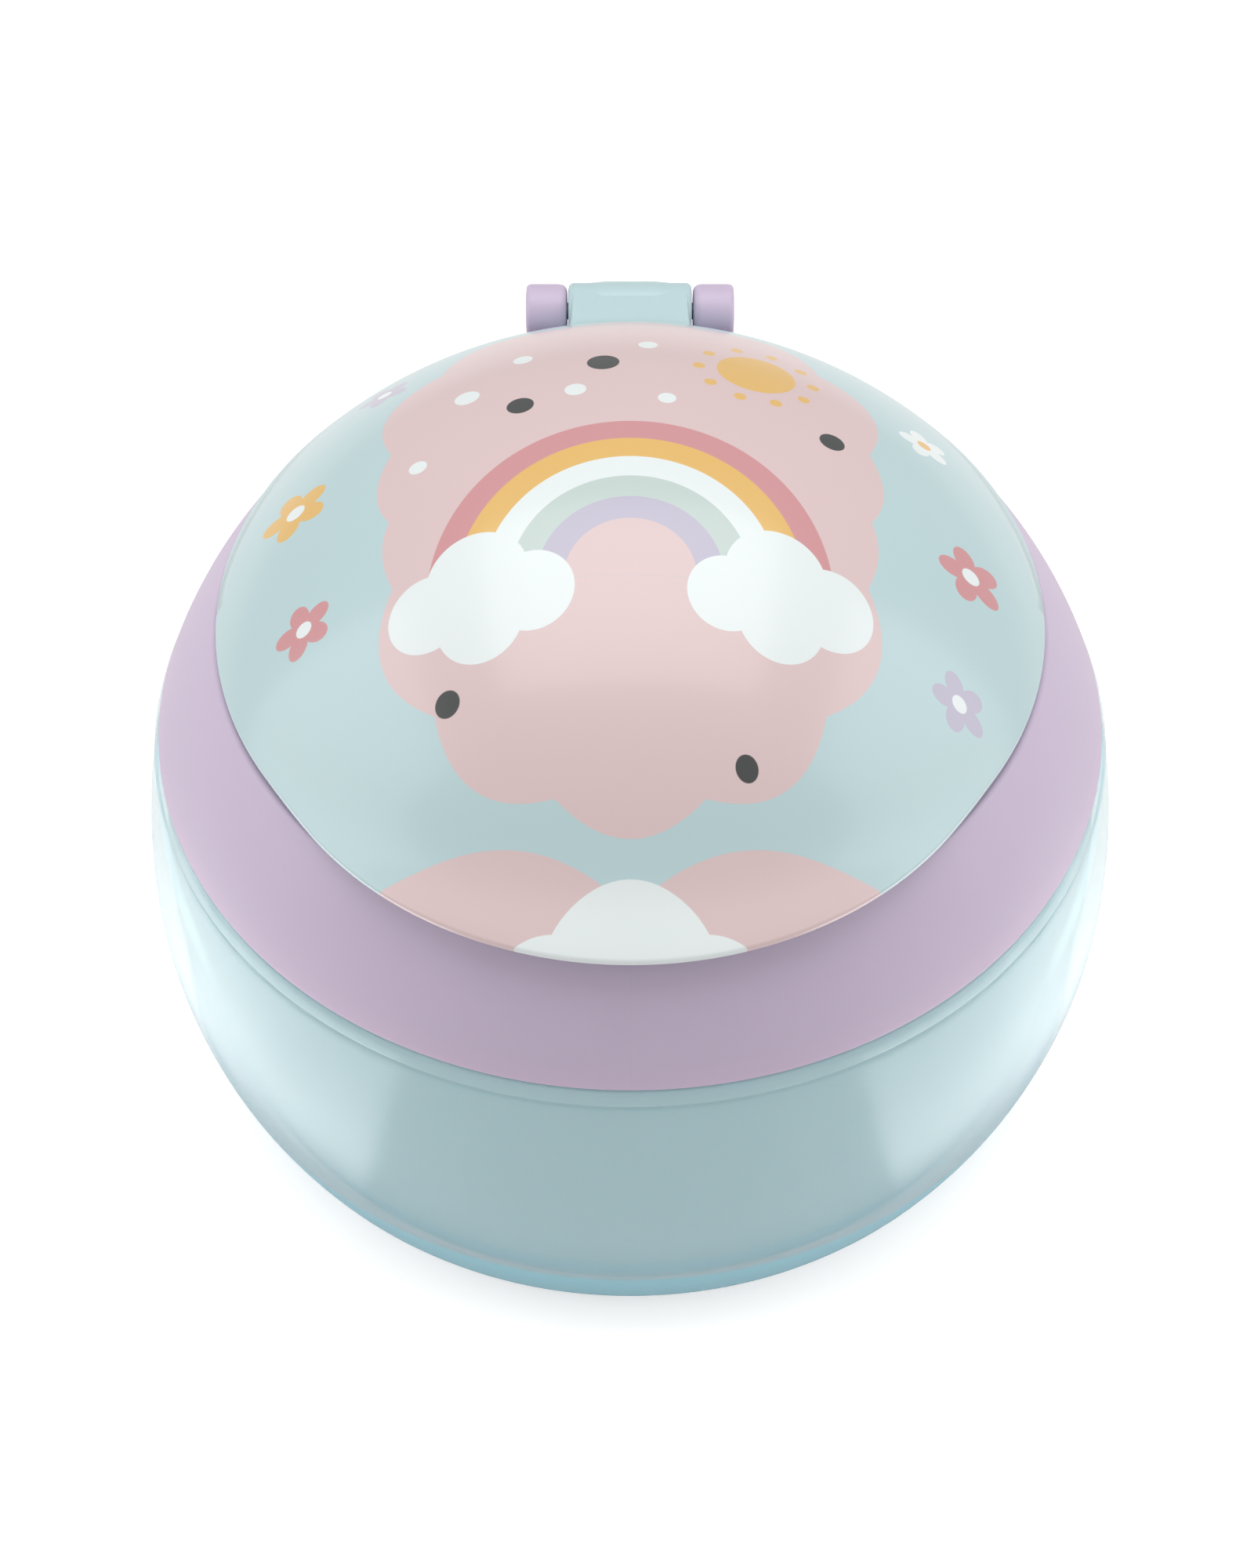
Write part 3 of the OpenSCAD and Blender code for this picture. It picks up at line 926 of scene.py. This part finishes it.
@dataclass
class Collar:
    """The screw ring between bowl and lid, with the hand opening and the hinge's lugs."""

    ball: Ball
    thread: Thread
    hinge: Hinge
    inset: float = 0.4 * MM
    wall: float = 1.7 * MM
    deck: float = 1.8 * MM
    bore_wall: float = 1.8 * MM
    bore_land: float = 6.5 * MM
    shelf: float = 1.6 * MM
    shelf_t: float = 1.2 * MM
    groove: float = 0.8 * MM
    thread_r: float = 49.26 * MM
    thread_low: float = 49.2 * MM
    thread_high: float = 55.1 * MM
    first_ridge: float = 50.1 * MM
    top: float = 63 * MM
    foot_edge: float = 0.32 * MM
    top_edge: float = 0.5 * MM
    side_slope: float = 0.7 * MM
    relief_gap: float = 0.5 * MM
    steps: int = 264

    def __post_init__(self) -> None:
        """Reads the heights off the frame."""
        self.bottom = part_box("collar")[0].z
        self.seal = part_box("rim_seal")
        self.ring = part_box("flap_ring")
        self.bore_r = self.ball.half_width(self.top, self.inset) - self.bore_land

    def lug_mask(self, x: float) -> float:
        """Returns 1 on the lugs, 0 off them and a smooth step between, at a distance across."""
        inner = ease((abs(x) - self.hinge.lug_in) / self.side_slope)
        outer = ease((self.hinge.lug_out - abs(x)) / self.side_slope)
        return inner * outer

    def lug_back(self, z: float) -> float:
        """Returns how far back the lugs' back reaches at a height."""
        foot_z = self.hinge.axis.z - self.hinge.lug_drop
        foot_y = half_width(self.ball.half_width(foot_z, self.inset), self.hinge.lug_out)
        drop = Vector((foot_y - self.hinge.axis.y, -self.hinge.lug_drop))
        tangent = math.atan2(drop.y, drop.x) + math.acos(self.hinge.lug_r / drop.length)
        top_y = self.hinge.axis.y + self.hinge.lug_r * math.cos(tangent)
        top_z = self.hinge.axis.z + self.hinge.lug_r * math.sin(tangent)
        return foot_y + (top_y - foot_y) * (z - foot_z) / (top_z - foot_z)

    def face(self, angle: float) -> list[Place]:
        """Returns the outer face at an angle, from its lower to its upper edge, with the lugs' feet."""
        low = self.bottom + self.foot_edge
        high = self.top - self.top_edge
        count = 44
        places = []
        for i in range(count + 1):
            z = low + (high - low) * i / count
            r = self.ball.half_width(z, self.inset)
            x, y = r * math.cos(angle), r * math.sin(angle)
            if y > 0:
                reach = blended_max(y, self.lug_back(z), 0.8 * MM)
                y += (reach - y) * self.lug_mask(x)
            places.append((x, y, z))
        return places

    def section(self, angle: float) -> list[Place]:
        """Returns the collar's section at an angle."""
        face = self.face(angle)
        low = self.bottom + self.foot_edge
        edge_r = self.ball.half_width(self.bottom, self.inset)
        out = self.ball.half_width(self.top - self.top_edge, self.inset)
        across, along = math.cos(angle), math.sin(angle)
        ring_low, ring_high = self.ring[0].z, self.ring[1].z
        deck_z = self.top - self.deck
        tube_r = self.bore_r + self.bore_wall
        seal_in = self.seal[1].x - SEAL_WALL
        land = rounded(
            [
                (out, self.top - self.top_edge, 0),
                (out - 0.35 * MM, self.top, 0.35 * MM),
                (out - 0.8 * MM, self.top, 0),
                (self.bore_r, self.top, 0.5 * MM),
                (self.bore_r, ring_high, 0),
            ]
        )[1:]
        behind = face[-1][1] - out * along
        over = []
        for r, z in land:
            shift = behind if r > out - 0.75 * MM else 0
            over.append((r * across, r * along + shift, z))
        down = rounded(
            [
                (self.bore_r, ring_high, 0),
                (self.bore_r + self.groove, ring_high, 0),
                (self.bore_r + self.groove, ring_low, 0),
                (self.bore_r - self.shelf, ring_low, 0.2 * MM),
                (self.bore_r - self.shelf, ring_low - self.shelf_t, 0.3 * MM),
                (tube_r, ring_low - self.shelf_t, 0.3 * MM),
                (tube_r, deck_z, 0.3 * MM),
                (seal_in, deck_z, 0.3 * MM),
                (seal_in, self.seal[1].z, 0.2 * MM),
                (self.ball.half_width(self.seal[1].z, self.inset + self.wall), self.seal[1].z, 0),
            ]
        )[1:]
        skirt = (57.2 * MM, 56.2 * MM, 55.6 * MM)
        inside = [(self.ball.half_width(z, self.inset + self.wall), z) for z in skirt]
        count = 24
        for i in range(count + 1):
            z = self.thread_high + (self.thread_low - self.thread_high) * i / count
            inside.append((self.thread_r - self.thread.rise(angle, z, self.first_ridge), z))
        inner_edge = self.ball.half_width(self.bottom, self.inset + self.wall)
        inside += rounded(
            [
                (inner_edge - 0.2 * MM, self.thread_low - 0.45 * MM, 0),
                (inner_edge, self.bottom, 0.2 * MM),
                (edge_r, self.bottom, 0.3 * MM),
                (self.ball.half_width(low, self.inset), low, 0),
            ]
        )[:-1]
        return face + over + [(r * across, r * along, z) for r, z in down + inside]

    def lug_barrel(self, side: int) -> Object:
        """Returns the barrel of one lug, with its edges rounded."""
        hinge = self.hinge
        inner, outer = hinge.lug_in, hinge.lug_out
        profile = rounded(
            [(0, inner, 0), (hinge.lug_r, inner, 1.1 * MM), (hinge.lug_r, outer, 0.7 * MM), (0, outer, 0)], 7
        )
        mesh = along_x(lathe(profile, 96), hinge.axis)
        if side < 0:
            bmesh.ops.scale(mesh, vec=(-1, 1, 1), verts=mesh.verts)
            bmesh.ops.recalc_face_normals(mesh, faces=mesh.faces)
        return new_object("barrel", mesh)

    def build(self, finish: Material) -> None:
        """Models and dresses the collar."""
        hinge = self.hinge
        dense = []
        spread, lug_foot_r = 0.022, 48.5 * MM
        for x in (hinge.lug_in + self.side_slope / 2, hinge.lug_out - self.side_slope / 2):
            middle = math.asin(x / lug_foot_r)
            dense += [(BACK + s * middle - spread, BACK + s * middle + spread, 18) for s in (-1, 1)]
        piece = new_object("collar_ring", swept(self.section, turn_angles(self.steps, dense), True))
        for side in (-1, 1):
            worked(piece, self.lug_barrel(side), Boolean.JOIN)
        worked(piece, hinge.bar(hinge.lug_in, hinge.barrel_r + self.relief_gap), Boolean.CUT)
        worked(piece, hinge.bar(hinge.lug_out + MM, hinge.pin_r + hinge.pin_gap), Boolean.CUT)
        dressed(piece, finish, "collar", ["collar"], Slot.COLLAR)


@dataclass
class Lid:
    """The dome lid with its thumb lip, plug ring and hinge knuckle, and the film in its top."""

    ball: Ball
    hinge: Hinge
    bottom: float = 63.6 * MM
    wall: float = 1.8 * MM
    edge: float = 0.45 * MM
    lip_edge: float = 0.6 * MM
    lip_reach: float = 3.6 * MM
    lip_forward: float = 8 * MM
    lip_slope: float = math.radians(30)
    lip_depth: float = 12 * MM
    crease: float = 1.6 * MM
    arm_blend: float = 1.6 * MM
    arm_side: float = 0.85 * MM
    arm_from: float = 0.93
    film_t: float = 0.25 * MM
    film_gap: float = 0.02 * MM
    film_side: float = 1.5 * MM
    film_back: float = 2.6 * MM
    plug_wall: float = 1.4 * MM
    plug_r: float = 39.6 * MM
    snap: float = 0.2 * MM
    steps: int = 264
    film_rings: int = 44
    film_cover: float = 0.94
    edge_steps: int = 14

    def __post_init__(self) -> None:
        """Works out the rim from the ball and its rounded edge."""
        centre_r = self.ball.half_width(self.bottom + self.edge, self.edge)
        self.rim_r = centre_r + self.edge
        self.lip_r = self.rim_r + self.lip_reach - self.lip_forward
        self.arm_top = self.hinge.axis.z + self.hinge.barrel_r
        self.plug_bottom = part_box("lid")[0].z

    def arm(self, x: float) -> float:
        """Returns 1 on the knuckle's arm, 0 off it and a smooth step between, at a distance across."""
        return ease((self.hinge.half_knuckle + 0.25 * MM - abs(x)) / self.arm_side)

    def outline(self, angle: float) -> float:
        """Returns the outline's radius: the round rim, or the lip's circle where that is further out."""
        ahead = -self.lip_forward * math.sin(angle)
        lip = ahead + half_width(self.lip_r, self.lip_forward * math.cos(angle))
        return blended_max(self.rim_r, lip, 0.8 * MM)

    def crown(self, x: float, y: float) -> float:
        """Returns the height of the lid's outer face over a point."""
        dome = self.ball.top(math.hypot(x, y))
        edge_z = self.bottom + self.lip_edge * (1 + math.cos(self.lip_slope))
        edge_r = self.lip_r - self.lip_edge * (1 - math.sin(self.lip_slope))
        inward = min(edge_r - math.hypot(x, y + self.lip_forward), self.lip_depth)
        lip = edge_z + inward * math.tan(self.lip_slope)
        height = blended_max(dome, lip, self.crease)
        if y > 0:
            arm = blended_max(dome, self.arm_top, self.arm_blend)
            height += (arm - dome) * self.arm(x)
        return height

    def film_edge(self, angle: float, rim: float) -> float:
        """Returns the film's radius: the whole crown in front, and clear of the knuckle's arm behind."""
        side = ease((math.sin(angle) + 0.02) / 0.5)
        back = ease((math.sin(angle) - 0.72) / 0.2)
        return rim - self.film_side * side - self.film_back * back

    def film_wrap(self, angle: float) -> float:
        """Returns 1 where the film goes on over the rim's edge, in the front half, and 0 elsewhere."""
        return 1.0 if math.sin(angle) < -0.002 else 0.0

    def top_edge(self, angle: float) -> tuple[Vector, float, float]:
        """Works out where the crown meets the edge's rounding.

        Args:
            angle: The section's angle.

        Returns:
            The end of the crown seen from above, the edge's radius and the slope's angle.
        """
        across, along = math.cos(angle), math.sin(angle)
        rim = self.outline(angle)
        share = clamp((rim - self.rim_r) / self.lip_reach)
        edge = self.edge + (self.lip_edge - self.edge) * share
        r = rim - 0.3 * edge
        end = Vector((r * across, r * along))
        step = 0.2 * MM
        fall = self.crown(*(end * (1 - step / r))) - self.crown(*end)
        slope = math.atan2(max(fall, 0), step)
        if end.y > 0:
            slope *= 1 - self.arm(end.x)
        end = Vector((across, along)) * (rim - edge * (1 - math.sin(slope)))
        return end, edge, slope

    def stretch(self, end: Vector) -> float:
        """Returns how far the arm reaches back over a point of the rim."""
        if end.y <= 0:
            return 0.0
        return max(self.hinge.axis.y - end.y, 0) * self.arm(end.x)

    def crown_place(self, share: float, end: Vector, sink: float = 0.0, slope: float = 0.0) -> Place:
        """Works out a place on the crown or under it.

        Args:
            share: How far out it lies, as a share of the way from the top to the crown's end.
            end: The crown's end, seen from above.
            sink: How far it lies under the crown.
            slope: The angle at which a sunk surface comes to the end, or 0 where it sinks straight down.

        Returns:
            The place.
        """
        flat = end * share * (1 - sink * math.sin(slope) / end.length)
        y = flat.y + self.stretch(end) * max(share - self.arm_from, 0) / (1 - self.arm_from)
        depth = sink * (1 + (1 / math.cos(slope) - 1) * share * share)
        return (flat.x, y, self.crown(flat.x, y) - depth)

    def edge_places(self, angle: float, sink: float, wrap: float = 1.0) -> list[Place]:
        """Works out the rounded edge from the end of the crown down to the underside.

        Args:
            angle: The section's angle.
            sink: How far the places lie inside the edge.
            wrap: How much of the edge they cover, from 0 to 1.

        Returns:
            The places.
        """
        end, edge, slope = self.top_edge(angle)
        top = self.crown_place(1.0, end)
        across, along = math.cos(angle), math.sin(angle)
        hub = Vector(top[:2]) - Vector((across, along)) * edge * math.sin(slope)
        upper = top[2] - edge * math.cos(slope)
        lower = min(self.bottom + edge, upper)
        start, soft = math.degrees(math.pi / 2 - slope), 12
        places = []
        for i in range(self.edge_steps + 1):
            turn = start - (start + 90) * wrap * i / self.edge_steps
            height = upper if turn > 0 else lower
            if -soft < turn <= soft:
                height = lower + (upper - lower) * (turn + soft) / (2 * soft)
            reach = (edge - sink) * math.cos(math.radians(turn))
            z = height + (edge - sink) * math.sin(math.radians(turn))
            places.append((hub.x + across * reach, hub.y + along * reach, z))
        return places

    def section(self, angle: float) -> list[Place]:
        """Returns the lid's section at an angle, from the top of its dome out, round and back inside."""
        end, edge, slope = self.top_edge(angle)
        radius = end.length
        film = self.film_edge(angle, radius) / radius
        wrap = self.film_wrap(angle)
        shares = [film * i / self.film_rings for i in range(self.film_rings + 1)]
        places = [self.crown_place(share, end, self.film_t, slope * wrap) for share in shares]
        rings = 16
        shares = [film + (1 - film) * i / rings for i in range(rings + 1)]
        places += [self.crown_place(share, end, self.film_t * wrap, slope * wrap) for share in shares]
        rounding = self.edge_places(angle, self.film_t * wrap)
        places += rounding[1:-1]
        hub = Vector(rounding[-1][:2])
        places.append((hub.x, hub.y, self.bottom))
        across, along = math.cos(angle), math.sin(angle)
        cavity_r = self.ball.half_width(self.bottom, self.wall)
        inner_top = self.ball.top(self.plug_r - self.plug_wall, self.wall)
        for share in (0.75, 0.5, 0.25, 0.0):
            inner = Vector((across, along)) * cavity_r
            flat = inner + (hub - inner) * share
            places.append((flat.x, flat.y, self.bottom))
        under = [
            (self.ball.half_width(z, self.wall), z)
            for z in (self.bottom + f * MM for f in (0.3, 1.2, 2.1, 3.0, 3.9, 4.7))
        ]
        bead_z = (self.plug_bottom + self.bottom) / 2
        plug_in = self.plug_r - self.plug_wall
        under += rounded(
            [
                (self.plug_r, self.ball.top(self.plug_r, self.wall) - 0.1 * MM, 0.4 * MM),
                (self.plug_r, bead_z + 0.5 * MM, 0.2 * MM),
                (self.plug_r + self.snap, bead_z, 0.2 * MM),
                (self.plug_r, bead_z - 0.5 * MM, 0.2 * MM),
                (self.plug_r, self.plug_bottom, 0.5 * MM),
                (plug_in, self.plug_bottom, 0.5 * MM),
                (plug_in, inner_top, 0.7 * MM),
                (plug_in * 0.97, self.ball.top(plug_in * 0.97, self.wall), 0),
            ]
        )
        dome = 30
        under += [
            (plug_in * 0.97 * i / dome, self.ball.top(plug_in * 0.97 * i / dome, self.wall))
            for i in reversed(range(dome))
        ]
        places += [(r * across, r * along, z) for r, z in under]
        return places

    def film_section(self, angle: float) -> list[Place]:
        """Returns the film's section at an angle."""
        end, _, slope = self.top_edge(angle)
        radius = end.length
        wrap = self.film_wrap(angle)
        gap = self.film_gap * (1 - wrap)
        film = (self.film_edge(angle, radius) - gap) / radius
        shares = [film * i / self.film_rings for i in range(self.film_rings + 1)]
        depth = self.film_t - self.film_gap
        upper = [self.crown_place(share, end) for share in shares]
        lower = [self.crown_place(share, end, depth, slope * wrap) for share in shares]
        if wrap > 0:
            reach = self.film_cover * wrap
            upper += self.edge_places(angle, 0.0, reach)[1:]
            lower += self.edge_places(angle, depth, reach)[1:]
        else:
            upper += [upper[-1]] * self.edge_steps
            lower += [lower[-1]] * self.edge_steps
        return upper + lower[::-1]

    def angles(self) -> list[float]:
        """Returns the sections' angles, closer together at the sides of the knuckle's arm."""
        middle = math.asin((self.hinge.half_knuckle - 0.15 * MM) / (44.3 * MM))
        spread = 0.026
        dense = [(BACK + s * middle - spread, BACK + s * middle + spread, 26) for s in (-1, 1)]
        return turn_angles(self.steps, dense)

    def barrel(self) -> Object:
        """Returns the knuckle's barrel with its raised band."""
        half, band, rise = self.hinge.half_knuckle, self.hinge.band_half, self.hinge.band_rise
        r = self.hinge.barrel_r
        profile = rounded(
            [
                (0, -half, 0),
                (r, -half, 0.8 * MM),
                (r, -band - 0.8 * MM, 0.7 * MM),
                (r + rise, -band + 0.8 * MM, 0.7 * MM),
                (r + rise, band - 0.8 * MM, 0.7 * MM),
                (r, band + 0.8 * MM, 0.7 * MM),
                (r, half, 0.8 * MM),
                (0, half, 0),
            ],
            7,
        )
        return new_object("barrel", along_x(lathe(profile, 96), self.hinge.axis))

    def build(self, plastic: Material, print_finish: Material) -> None:
        """Models and dresses the lid and its film."""
        angles = self.angles()
        piece = new_object("dome_lid", swept(self.section, angles, False))
        worked(piece, self.barrel(), Boolean.JOIN)
        worked(piece, self.hinge.bar(self.hinge.lug_out, self.hinge.pin_r + self.hinge.pin_gap), Boolean.CUT)
        dressed(piece, plastic, "lid", ["lid"], Slot.LID)
        film = new_object("printed_film", swept(self.film_section, angles, False))
        dressed(film, print_finish, "lid", ["lid_label"], Slot.FILM)


@dataclass
class Flaps:
    """The soft insert in the hand opening: an outer ring and wedges that bend at their roots."""

    count: int = 6
    slit: float = 0.5 * MM
    tip: float = 0.55 * MM
    thick: float = 1.0 * MM
    bend: float = 1.6 * MM

    def __post_init__(self) -> None:
        """Reads the bending lines and the ring off the frame."""
        joint = next(j for j in frame["joints"] if j["name"] == "flap_1_bend")
        self.root_r = math.hypot(*joint["pos_m"][:2])
        self.middle = joint["pos_m"][2]
        self.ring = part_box("flap_ring")
        self.half = math.pi / self.count

    def wedge(self, index: int) -> Mesh:
        """Returns one flap as a thin wedge with rounded edges."""
        half, slit = self.half, self.slit
        root_r = self.root_r + 0.3 * MM
        near = slit / 2 / math.sin(half) + self.tip
        wide = root_r * math.tan(half) - slit / 2 / math.cos(half)
        narrow = near * math.tan(half) - slit / 2 / math.cos(half)
        mesh = bmesh.new()
        corners = [(near, -narrow), (root_r, -wide), (root_r, wide), (near, narrow)]
        low = self.middle - self.thick / 2
        face = mesh.faces.new([mesh.verts.new((x, y, low)) for x, y in corners])
        up = bmesh.ops.extrude_face_region(mesh, geom=[face])
        top = [v for v in up["geom"] if isinstance(v, bmesh.types.BMVert)]
        bmesh.ops.translate(mesh, verts=top, vec=(0, 0, self.thick))
        bmesh.ops.recalc_face_normals(mesh, faces=mesh.faces)
        sides = [e for e in mesh.edges if abs(e.verts[0].co.z - e.verts[1].co.z) > 0.5 * self.thick]
        bmesh.ops.bevel(
            mesh, geom=[e for e in sides if e.verts[0].co.x < root_r - MM],
            offset=0.4 * MM, offset_type="OFFSET", segments=4, profile=0.5, material=-1, affect="EDGES",
        )
        step = 1.2 * MM
        cuts = [i * step for i in range(1, int((root_r - near) / step))]
        cuts += [x * MM for x in (0.15, 0.4, 0.7, 1.0, 1.4)]
        for inward in cuts:
            whole = mesh.verts[:] + mesh.edges[:] + mesh.faces[:]
            bmesh.ops.bisect_plane(mesh, geom=whole, plane_co=(root_r - inward, 0, 0), plane_no=(1, 0, 0))
        for vert in mesh.verts:
            inward = root_r - vert.co.x
            hinge_line = math.exp(-((inward - 0.8 * MM) / (0.45 * MM)) ** 2)
            lift = 1 if vert.co.z > self.middle else -1
            vert.co.z -= lift * 0.22 * MM * hinge_line
            vert.co.z -= 0.0 if lift < 0 else 0.25 * MM * ease(1 - (vert.co.x - near) / (6 * MM))
        rim = [e for e in mesh.edges if e.is_manifold and e.calc_face_angle(0) > 1.0]
        bmesh.ops.bevel(
            mesh, geom=rim, offset=0.14 * MM, offset_type="OFFSET", segments=2, profile=0.5,
            material=-1, affect="EDGES", clamp_overlap=True,
        )
        turn = index * 2 * half
        for vert in mesh.verts:
            x, y, z = vert.co
            vert.co = (x * math.cos(turn) - y * math.sin(turn), x * math.sin(turn) + y * math.cos(turn), z)
        bmesh.ops.recalc_face_normals(mesh, faces=mesh.faces)
        return mesh

    def ring_section(self, angle: float) -> list[Place]:
        """Returns the ring's section at an angle, with the six-sided opening that the flaps fill."""
        off = (angle + self.half) % (2 * self.half) - self.half
        inner = (self.root_r + 0.3 * MM + 0.06 * MM) / math.cos(off)
        outer = self.ring[1].x
        low, high = self.ring[0].z, self.ring[1].z
        flat = rounded(
            [
                (outer, low, 0.15 * MM),
                (outer, high, 0.15 * MM),
                (inner + 3.4 * MM, high, 0.4 * MM),
                (inner + 2.6 * MM, self.middle + self.thick / 2, 0.4 * MM),
                (inner, self.middle + self.thick / 2, 0.12 * MM),
                (inner, self.middle - self.thick / 2, 0.12 * MM),
                (inner + 3 * MM, self.middle - self.thick / 2, 0.3 * MM),
                (inner + 3.4 * MM, low, 0.3 * MM),
            ]
        )
        return [(r * math.cos(angle), r * math.sin(angle), z) for r, z in flat]

    def build(self, finish: Material) -> None:
        """Models and dresses the ring and the flaps."""
        ring = new_object("insert_ring", swept(self.ring_section, turn_angles(240), True))
        dressed(ring, finish, "collar", ["flap_ring"], Slot.SILICONE)
        for i in range(self.count):
            name = f"flap_{i + 1}"
            flap = new_object(f"soft_{name}", self.wedge(i), 50)
            dressed(flap, finish, "", [name], Slot.SILICONE)
            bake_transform(flap)


@dataclass
class Seal:
    """The soft ring between the bowl's neck and the collar."""

    def build(self, finish: Material) -> None:
        """Models and dresses the seal, with two fine lips on its top."""
        low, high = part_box("rim_seal")
        outer, inner = high.x, high.x - SEAL_WALL
        middle = (outer + inner) / 2
        profile = rounded(
            [
                (inner, low.z, 0.2 * MM),
                (outer, low.z, 0.2 * MM),
                (outer, high.z, 0.3 * MM),
                (middle + 0.3 * MM, high.z, 0.1 * MM),
                (middle, high.z - 0.25 * MM, 0.15 * MM),
                (middle - 0.3 * MM, high.z, 0.1 * MM),
                (inner, high.z, 0.3 * MM),
            ]
        )
        piece = new_object("rim_gasket", lathe(profile, 192, True))
        dressed(piece, finish, "seal", ["rim_seal"], Slot.SILICONE)


@dataclass
class Studio:
    """The pale floor, the soft lights and the camera.

    The floor's two lights, weak and strong, show in reflections only. Each starts between two angles
    from the front, in degrees, and has a strength.
    """

    floor_size: float = 6.0
    floor_glow: Colour = (0.52, 0.46, 0.44)
    weak: tuple[float, float, float] = (23, 27, 0.1)
    strong: tuple[float, float, float] = (38, 41.5, 2.4)
    lens: float = 81
    camera_place: Place = (-0.00036, -0.27055, 0.35002)
    tilt: float = math.radians(40.614)

    def softbox(self, name: str, place: Place, aim: Place, size: tuple[float, float], power: float) -> None:
        """Makes an area light.

        Args:
            name: The light's name.
            place: Where it is.
            aim: The point that it faces.
            size: Its width and height.
            power: Its power in watts.
        """
        light = bpy.data.lights.new(name, "AREA")
        light.shape = "RECTANGLE"
        light.size, light.size_y = size
        light.energy = power
        lamp = bpy.data.objects.new(name, light)
        lamp.location = place
        lamp.rotation_euler = (Vector(aim) - Vector(place)).to_track_quat("-Z", "Y").to_euler()
        bpy.context.scene.collection.objects.link(lamp)

    def floor(self) -> None:
        """Makes the floor, which catches the object's shadow."""
        mesh = bmesh.new()
        bmesh.ops.create_grid(mesh, x_segments=1, y_segments=1, size=self.floor_size / 2)
        floor = new_object("floor", mesh)
        floor.location.z = -0.0001
        shader = Shader("floor_white")
        azimuth = shader.azimuth()
        reach = shader.circle(0, 0, 0)
        weak, strong = (azimuth.ramp(first, last) * glow for first, last, glow in (self.weak, self.strong))
        side = weak + strong
        side = side * reach.ramp(56, 72) * reach.ramp(200, 140) * azimuth.ramp(112, 68)
        path = shader.tree.nodes.new("ShaderNodeLightPath")
        seen = Value(shader, path.outputs["Is Camera Ray"])
        far = reach.ramp(110, 300)
        reflected = Value(shader, path.outputs["Is Glossy Ray"]) * side
        channels = {i: seen * (far + share) + reflected for i, share in enumerate(self.floor_glow)}
        glow = shader.node("ShaderNodeCombineColor", {}, channels)
        shader.set(
            Base_Color=(0.96, 0.94, 0.93),
            Roughness=0.9,
            Specular_IOR_Level=0.1,
            Emission_Color=glow,
            Emission_Strength=1.0,
        )
        floor.data.materials.append(shader.material)

    def world(self) -> None:
        """Makes the even surroundings: white to the eye and in reflections, plainer as light."""
        world = bpy.data.worlds.new("studio")
        bpy.context.scene.world = world
        world.use_nodes = True
        tree = world.node_tree
        tree.nodes.clear()
        output = tree.nodes.new("ShaderNodeOutputWorld")
        seen = tree.nodes.new("ShaderNodeBackground")
        seen.inputs["Strength"].default_value = 1.0
        light = tree.nodes.new("ShaderNodeBackground")
        light.inputs["Strength"].default_value = 0.42
        for node in (seen, light):
            node.inputs["Color"].default_value = (1, 1, 1, 1)
        path = tree.nodes.new("ShaderNodeLightPath")
        mix = tree.nodes.new("ShaderNodeMixShader")
        tree.links.new(path.outputs["Is Camera Ray"], mix.inputs[0])
        tree.links.new(light.outputs[0], mix.inputs[1])
        tree.links.new(seen.outputs[0], mix.inputs[2])
        tree.links.new(mix.outputs[0], output.inputs[0])

    def camera(self) -> None:
        """Makes the camera at the photograph's angle."""
        lens = bpy.data.cameras.new("camera")
        lens.sensor_fit = "VERTICAL"
        lens.sensor_height = 36
        lens.lens = self.lens
        lens.clip_start, lens.clip_end = 0.01, 20
        camera = bpy.data.objects.new("camera", lens)
        camera.location = self.camera_place
        camera.rotation_euler = (self.tilt, 0, 0)
        bpy.context.scene.collection.objects.link(camera)
        bpy.context.scene.camera = camera

    def build(self) -> None:
        """Makes all of the studio."""
        self.camera()
        self.world()
        self.floor()
        centre = (0, 0, 0.04)
        self.softbox("overhead", (0, 0.12, 0.75), centre, (0.8, 0.6), 3.2)
        self.softbox("left", (-0.6, -0.05, 0.32), centre, (0.5, 0.5), 1.2)
        self.softbox("right", (0.6, -0.05, 0.32), centre, (0.5, 0.5), 1.2)
        bpy.context.scene.view_settings.view_transform = "Standard"
        LOG.info("studio: 3 softboxes")


def main() -> None:
    """Builds the container and its studio."""
    logging.basicConfig(level=logging.INFO, format="%(name)s %(message)s")
    ball, thread, hinge = Ball(), Thread(), Hinge()
    aqua = (0.500, 0.655, 0.675)
    silicone = SoftSilicone("silicone", (0.80, 0.86, 0.86)).material()
    Bowl(ball, thread).build(
        TranslucentPlastic("hazy_aqua", (0.66, 0.89, 0.93), (0.32, 0.80, 0.97), 11.8, 0.48).material()
    )
    Seal().build(silicone)
    # The pinker colour and the height 48 mm are the collar's painted edge glow, standing for light through
    # its thin lower edge.
    lilac = MouldedPlastic("lilac", (0.60, 0.50, 0.65), 0.42, 0.0, 0.25, (0.66, 0.50, 0.66), 48.0, True)
    Collar(ball, thread, hinge).build(lilac.material())
    hinge.build_pin(DrawnSteel("steel", (0.56, 0.57, 0.58)).material())
    Flaps().build(silicone)
    Lid(ball, hinge).build(
        MouldedPlastic("aqua", aqua, 0.37, 0.15).material(),
        PrintedFilm("print", aqua).material(),
    )
    Studio().build()


if __name__ == "__main__":
    main()
